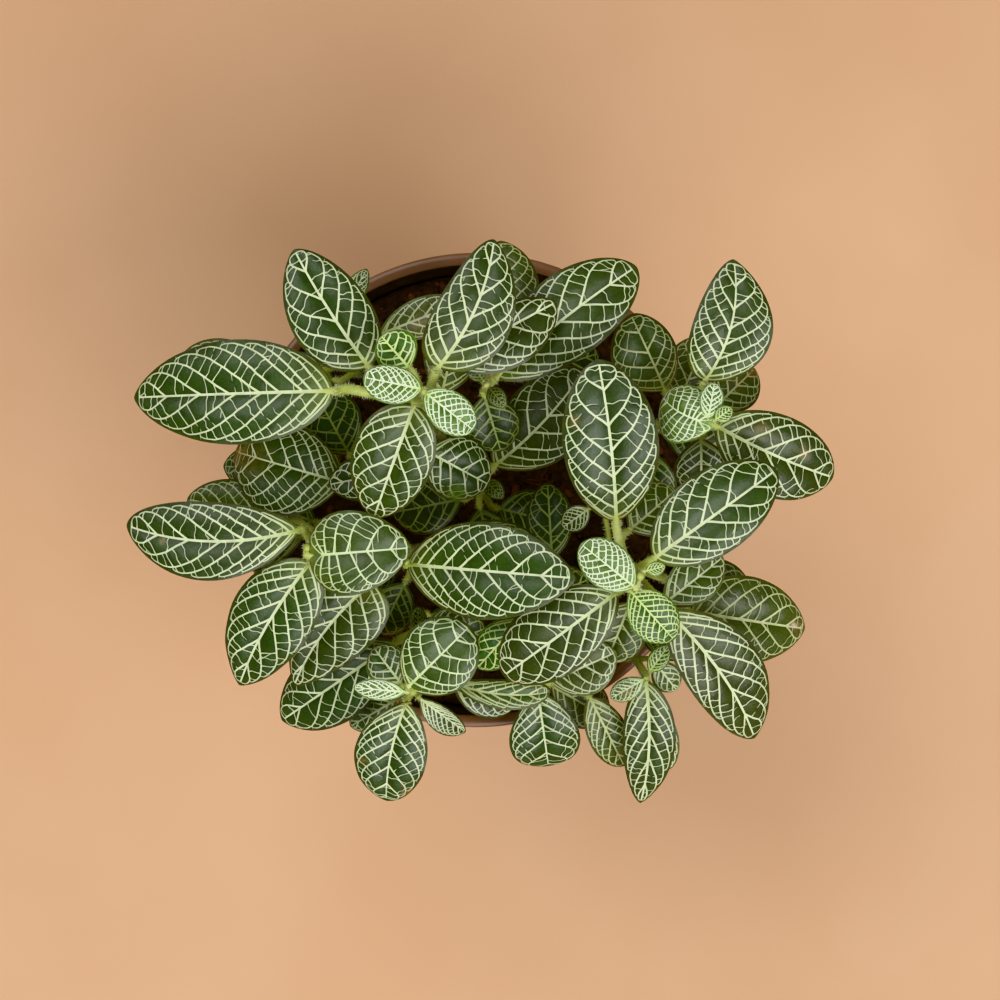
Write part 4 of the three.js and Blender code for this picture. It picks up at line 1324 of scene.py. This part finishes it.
band_foot = wall_radius(POT_BAND_FOOT)
band_inner = (band_foot + POT_BAND_STEP - POT_WALL, POT_BAND_FOOT + POT_BAND_SLOPE + POT_WALL)
lip_inner = (POT_LIP_INNER, POT_HEIGHT - POT_LIP_CORNER)
pot = drawn_up("pot_body", [
    (POT_BASE_RADIUS - POT_BASE_CHAMFER, 0),
    (wall_radius(POT_BASE_CHAMFER), POT_BASE_CHAMFER),
    (band_foot, POT_BAND_FOOT),
    (band_foot + POT_BAND_STEP, POT_BAND_FOOT + POT_BAND_SLOPE),
    (POT_LIP_RADIUS, POT_LIP_FOOT),
    (POT_RIM_RADIUS, POT_LIP_FOOT),
    (POT_RIM_RADIUS, POT_HEIGHT - POT_LIP_CORNER),
    (POT_RIM_RADIUS - 0.5 * POT_LIP_ROUND, POT_HEIGHT - 0.5 * POT_LIP_ROUND),
    (POT_RIM_RADIUS - 2 * POT_LIP_ROUND, POT_HEIGHT),
    (POT_RIM_RADIUS - 3 * POT_LIP_ROUND, POT_HEIGHT),
    (POT_RIM_RADIUS - 5 * POT_LIP_ROUND, POT_HEIGHT - 0.6 * POT_LIP_ROUND),
    lip_inner,
    band_inner,
    (band_foot - POT_WALL, POT_BAND_FOOT + POT_WALL),
    (wall_radius(POT_FLOOR) - POT_WALL, POT_FLOOR),
], POT_SIDES)
all_outward()
apply_modifier(pot, "BEVEL", width=POT_EDGE_ROUND * MM, segments=3, limit_method="ANGLE",
               angle_limit=math.radians(POT_ROUNDED_FROM))
for hole in range(DRAIN_HOLES):
    turn = 2 * math.pi * hole / DRAIN_HOLES
    ring = DRAIN_RING_RADIUS * MM
    place = (ring * math.cos(turn), ring * math.sin(turn), POT_FLOOR * MM / 2)
    bpy.ops.mesh.primitive_cylinder_add(vertices=DRAIN_SIDES, radius=DRAIN_RADIUS * MM,
                                        depth=3 * POT_FLOOR * MM, location=place)
    punch = bpy.context.object
    apply_modifier(pot, "BOOLEAN", operation="DIFFERENCE", object=punch, solver="EXACT")
    bpy.data.objects.remove(punch, do_unlink=True)
pot.data.materials.append(PLASTIC)
pot.data.materials.append(SHADE_PAINTED_PLASTIC)
# Painted shade: faces inside the pot that look up, the inner wall above the mix, take the darker plastic
for face in pot.data.polygons:
    far = math.hypot(face.center.x, face.center.y) / MM
    high = face.center.z / MM
    looks_up = face.normal.z > 0.05
    inside = POT_FLOOR / 2 < high < lip_inner[1] + 0.1 and far < lip_inner[0] + 0.3
    if looks_up and inside:
        face.material_index = 1
bpy.ops.object.shade_smooth_by_angle(angle=math.radians(POT_SMOOTH))
finish_piece(pot, "pot")


# Potting mix

def soil_height(x, y):
    waves = sum(math.sin(a * x + b * y + c) for a, b, c in SOIL_WAVES) / len(SOIL_WAVES)
    crumbs = noise.turbulence(Vector((x, y, 3.0)) / CRUMB_SIZE, 3, False)
    return SOIL_TOP + SOIL_BUMP * waves + CRUMB_RISE * (crumbs - 0.4)


def soil_radius(height):
    return wall_radius(height) - POT_WALL - SOIL_GAP


brow = SOIL_TOP - SOIL_SHOULDER
ledge = POT_BAND_FOOT + POT_WALL + LEDGE_GAP
soil_edge = float(np.interp(brow, [band_inner[1], lip_inner[1]], [band_inner[0], lip_inner[0]])) - SOIL_GAP
soil = drawn_up("soil_body", [
    (soil_radius(SOIL_FOOT), SOIL_FOOT),
    (soil_radius(POT_BAND_FOOT), POT_BAND_FOOT),
    (soil_radius(POT_BAND_FOOT), ledge),
    (soil_radius(POT_BAND_FOOT) + POT_BAND_STEP, ledge + POT_BAND_SLOPE),
    (soil_edge, brow),
    (soil_edge - SOIL_CORNER, SOIL_TOP),
], SOIL_SIDES)
for ring in range(SOIL_RINGS):
    bpy.ops.mesh.inset(thickness=(soil_edge - SOIL_CORNER - SOIL_CENTRE) / SOIL_RINGS * MM)
bpy.ops.mesh.poke()
all_outward()
for vertex in soil.data.vertices:
    if vertex.co.z > (SOIL_TOP - 0.1) * MM:
        vertex.co.z = soil_height(vertex.co.x / MM, vertex.co.y / MM) * MM
soil.data.materials.append(PEAT)
bpy.ops.object.shade_smooth_by_angle(angle=math.radians(SOIL_SMOOTH))
finish_piece(soil, "soil")

rng = random.Random("coir")
forms = []
for form in range(CHIP_FORMS):
    bpy.ops.mesh.primitive_ico_sphere_add(subdivisions=1, radius=1)
    ball = bpy.context.object
    shaped = []
    for vertex in ball.data.vertices:
        rough = 1 + CHIP_ROUGHNESS * noise.noise(vertex.co * 1.3 + Vector((7.0 * form, 0, 0)))
        shaped.append(np.array(vertex.co) * rough * CHIP_SHAPE)
    forms.append((np.array(shaped), [tuple(face.vertices) for face in ball.data.polygons]))
    bpy.data.objects.remove(ball, do_unlink=True)

chips = []
for _ in range(CHIPS):
    shaped, faces = rng.choice(forms)
    far = soil_edge * math.sqrt(rng.random())
    angle = rng.uniform(0, 2 * math.pi)
    size = float(np.interp(rng.random() ** 2, (0, 1), CHIP_SIZES))
    far = min(far, soil_edge - 0.5 - size)
    x = far * math.cos(angle)
    y = far * math.sin(angle)
    spin = rng.uniform(0, 2 * math.pi)
    tilt = rng.uniform(-CHIP_TILT, CHIP_TILT)
    turned = np.array(Matrix.Rotation(spin, 3, "Z") @ Matrix.Rotation(tilt, 3, "Y"))
    points = shaped @ turned.T * size + [x, y, soil_height(x, y) + CHIP_LIFT * size]
    chips.append((points, faces, np.tile(rng.choice(COIR_SHADES), (len(points), 1))))
finish_piece(mesh_piece("soil_chips", chips, COIR))

strands = []
for _ in range(STRANDS):
    far = (soil_edge - 2) * math.sqrt(rng.random())
    angle = rng.uniform(0, 2 * math.pi)
    way = rng.uniform(0, 2 * math.pi)
    x = far * math.cos(angle)
    y = far * math.sin(angle)
    line = []
    for step in range(STRAND_STEPS):
        if math.hypot(x, y) > soil_edge - 0.7:
            break
        arch = STRAND_ARCH * math.sin(math.pi * step / (STRAND_STEPS - 1))
        line.append((x, y, soil_height(x, y) + STRAND_LIFT + arch))
        way += rng.uniform(-STRAND_TURN, STRAND_TURN)
        x += STRAND_STEP * math.cos(way)
        y += STRAND_STEP * math.sin(way)
    if len(line) < 4:
        continue
    radii = STRAND_RADIUS * np.linspace(1.1, 0.6, len(line))
    points, faces, _ = tube(np.array(line), radii, 4)
    strands.append((points, faces, np.tile(rng.choice(COIR_SHADES[2:]), (len(points), 1))))
finish_piece(mesh_piece("soil_strands", strands, COIR))

# Floor, lights and camera

bpy.ops.mesh.primitive_plane_add(size=FLOOR_SIZE)
floor = bpy.context.object
floor.name = "floor"
floor.data.materials.append(BOARD)

for name, (place, size, power) in SOFT_LIGHTS.items():
    data = bpy.data.lights.new(name, "AREA")
    data.shape = "DISK"
    data.size = size
    data.energy = power
    light = bpy.data.objects.new(name, data)
    bpy.context.scene.collection.objects.link(light)
    light.location = place
    light.rotation_euler = (Vector(LIGHTS_AIM) - Vector(place)).to_track_quat("-Z", "Y").to_euler()

world = bpy.data.worlds.new("studio")
bpy.context.scene.world = world
world.use_nodes = True
background = world.node_tree.nodes["Background"]
background.inputs["Color"].default_value = linear(ROOM_LIGHT)
background.inputs["Strength"].default_value = ROOM_STRENGTH
bpy.context.scene.view_settings.view_transform = "Khronos PBR Neutral"

camera_data = bpy.data.cameras.new("camera")
camera_data.lens = CAMERA_LENS
camera_data.sensor_width = CAMERA_SENSOR
camera = bpy.data.objects.new("camera", camera_data)
bpy.context.scene.collection.objects.link(camera)
camera.location = Vector(CAMERA_PLACE) * MM
bpy.context.scene.camera = camera
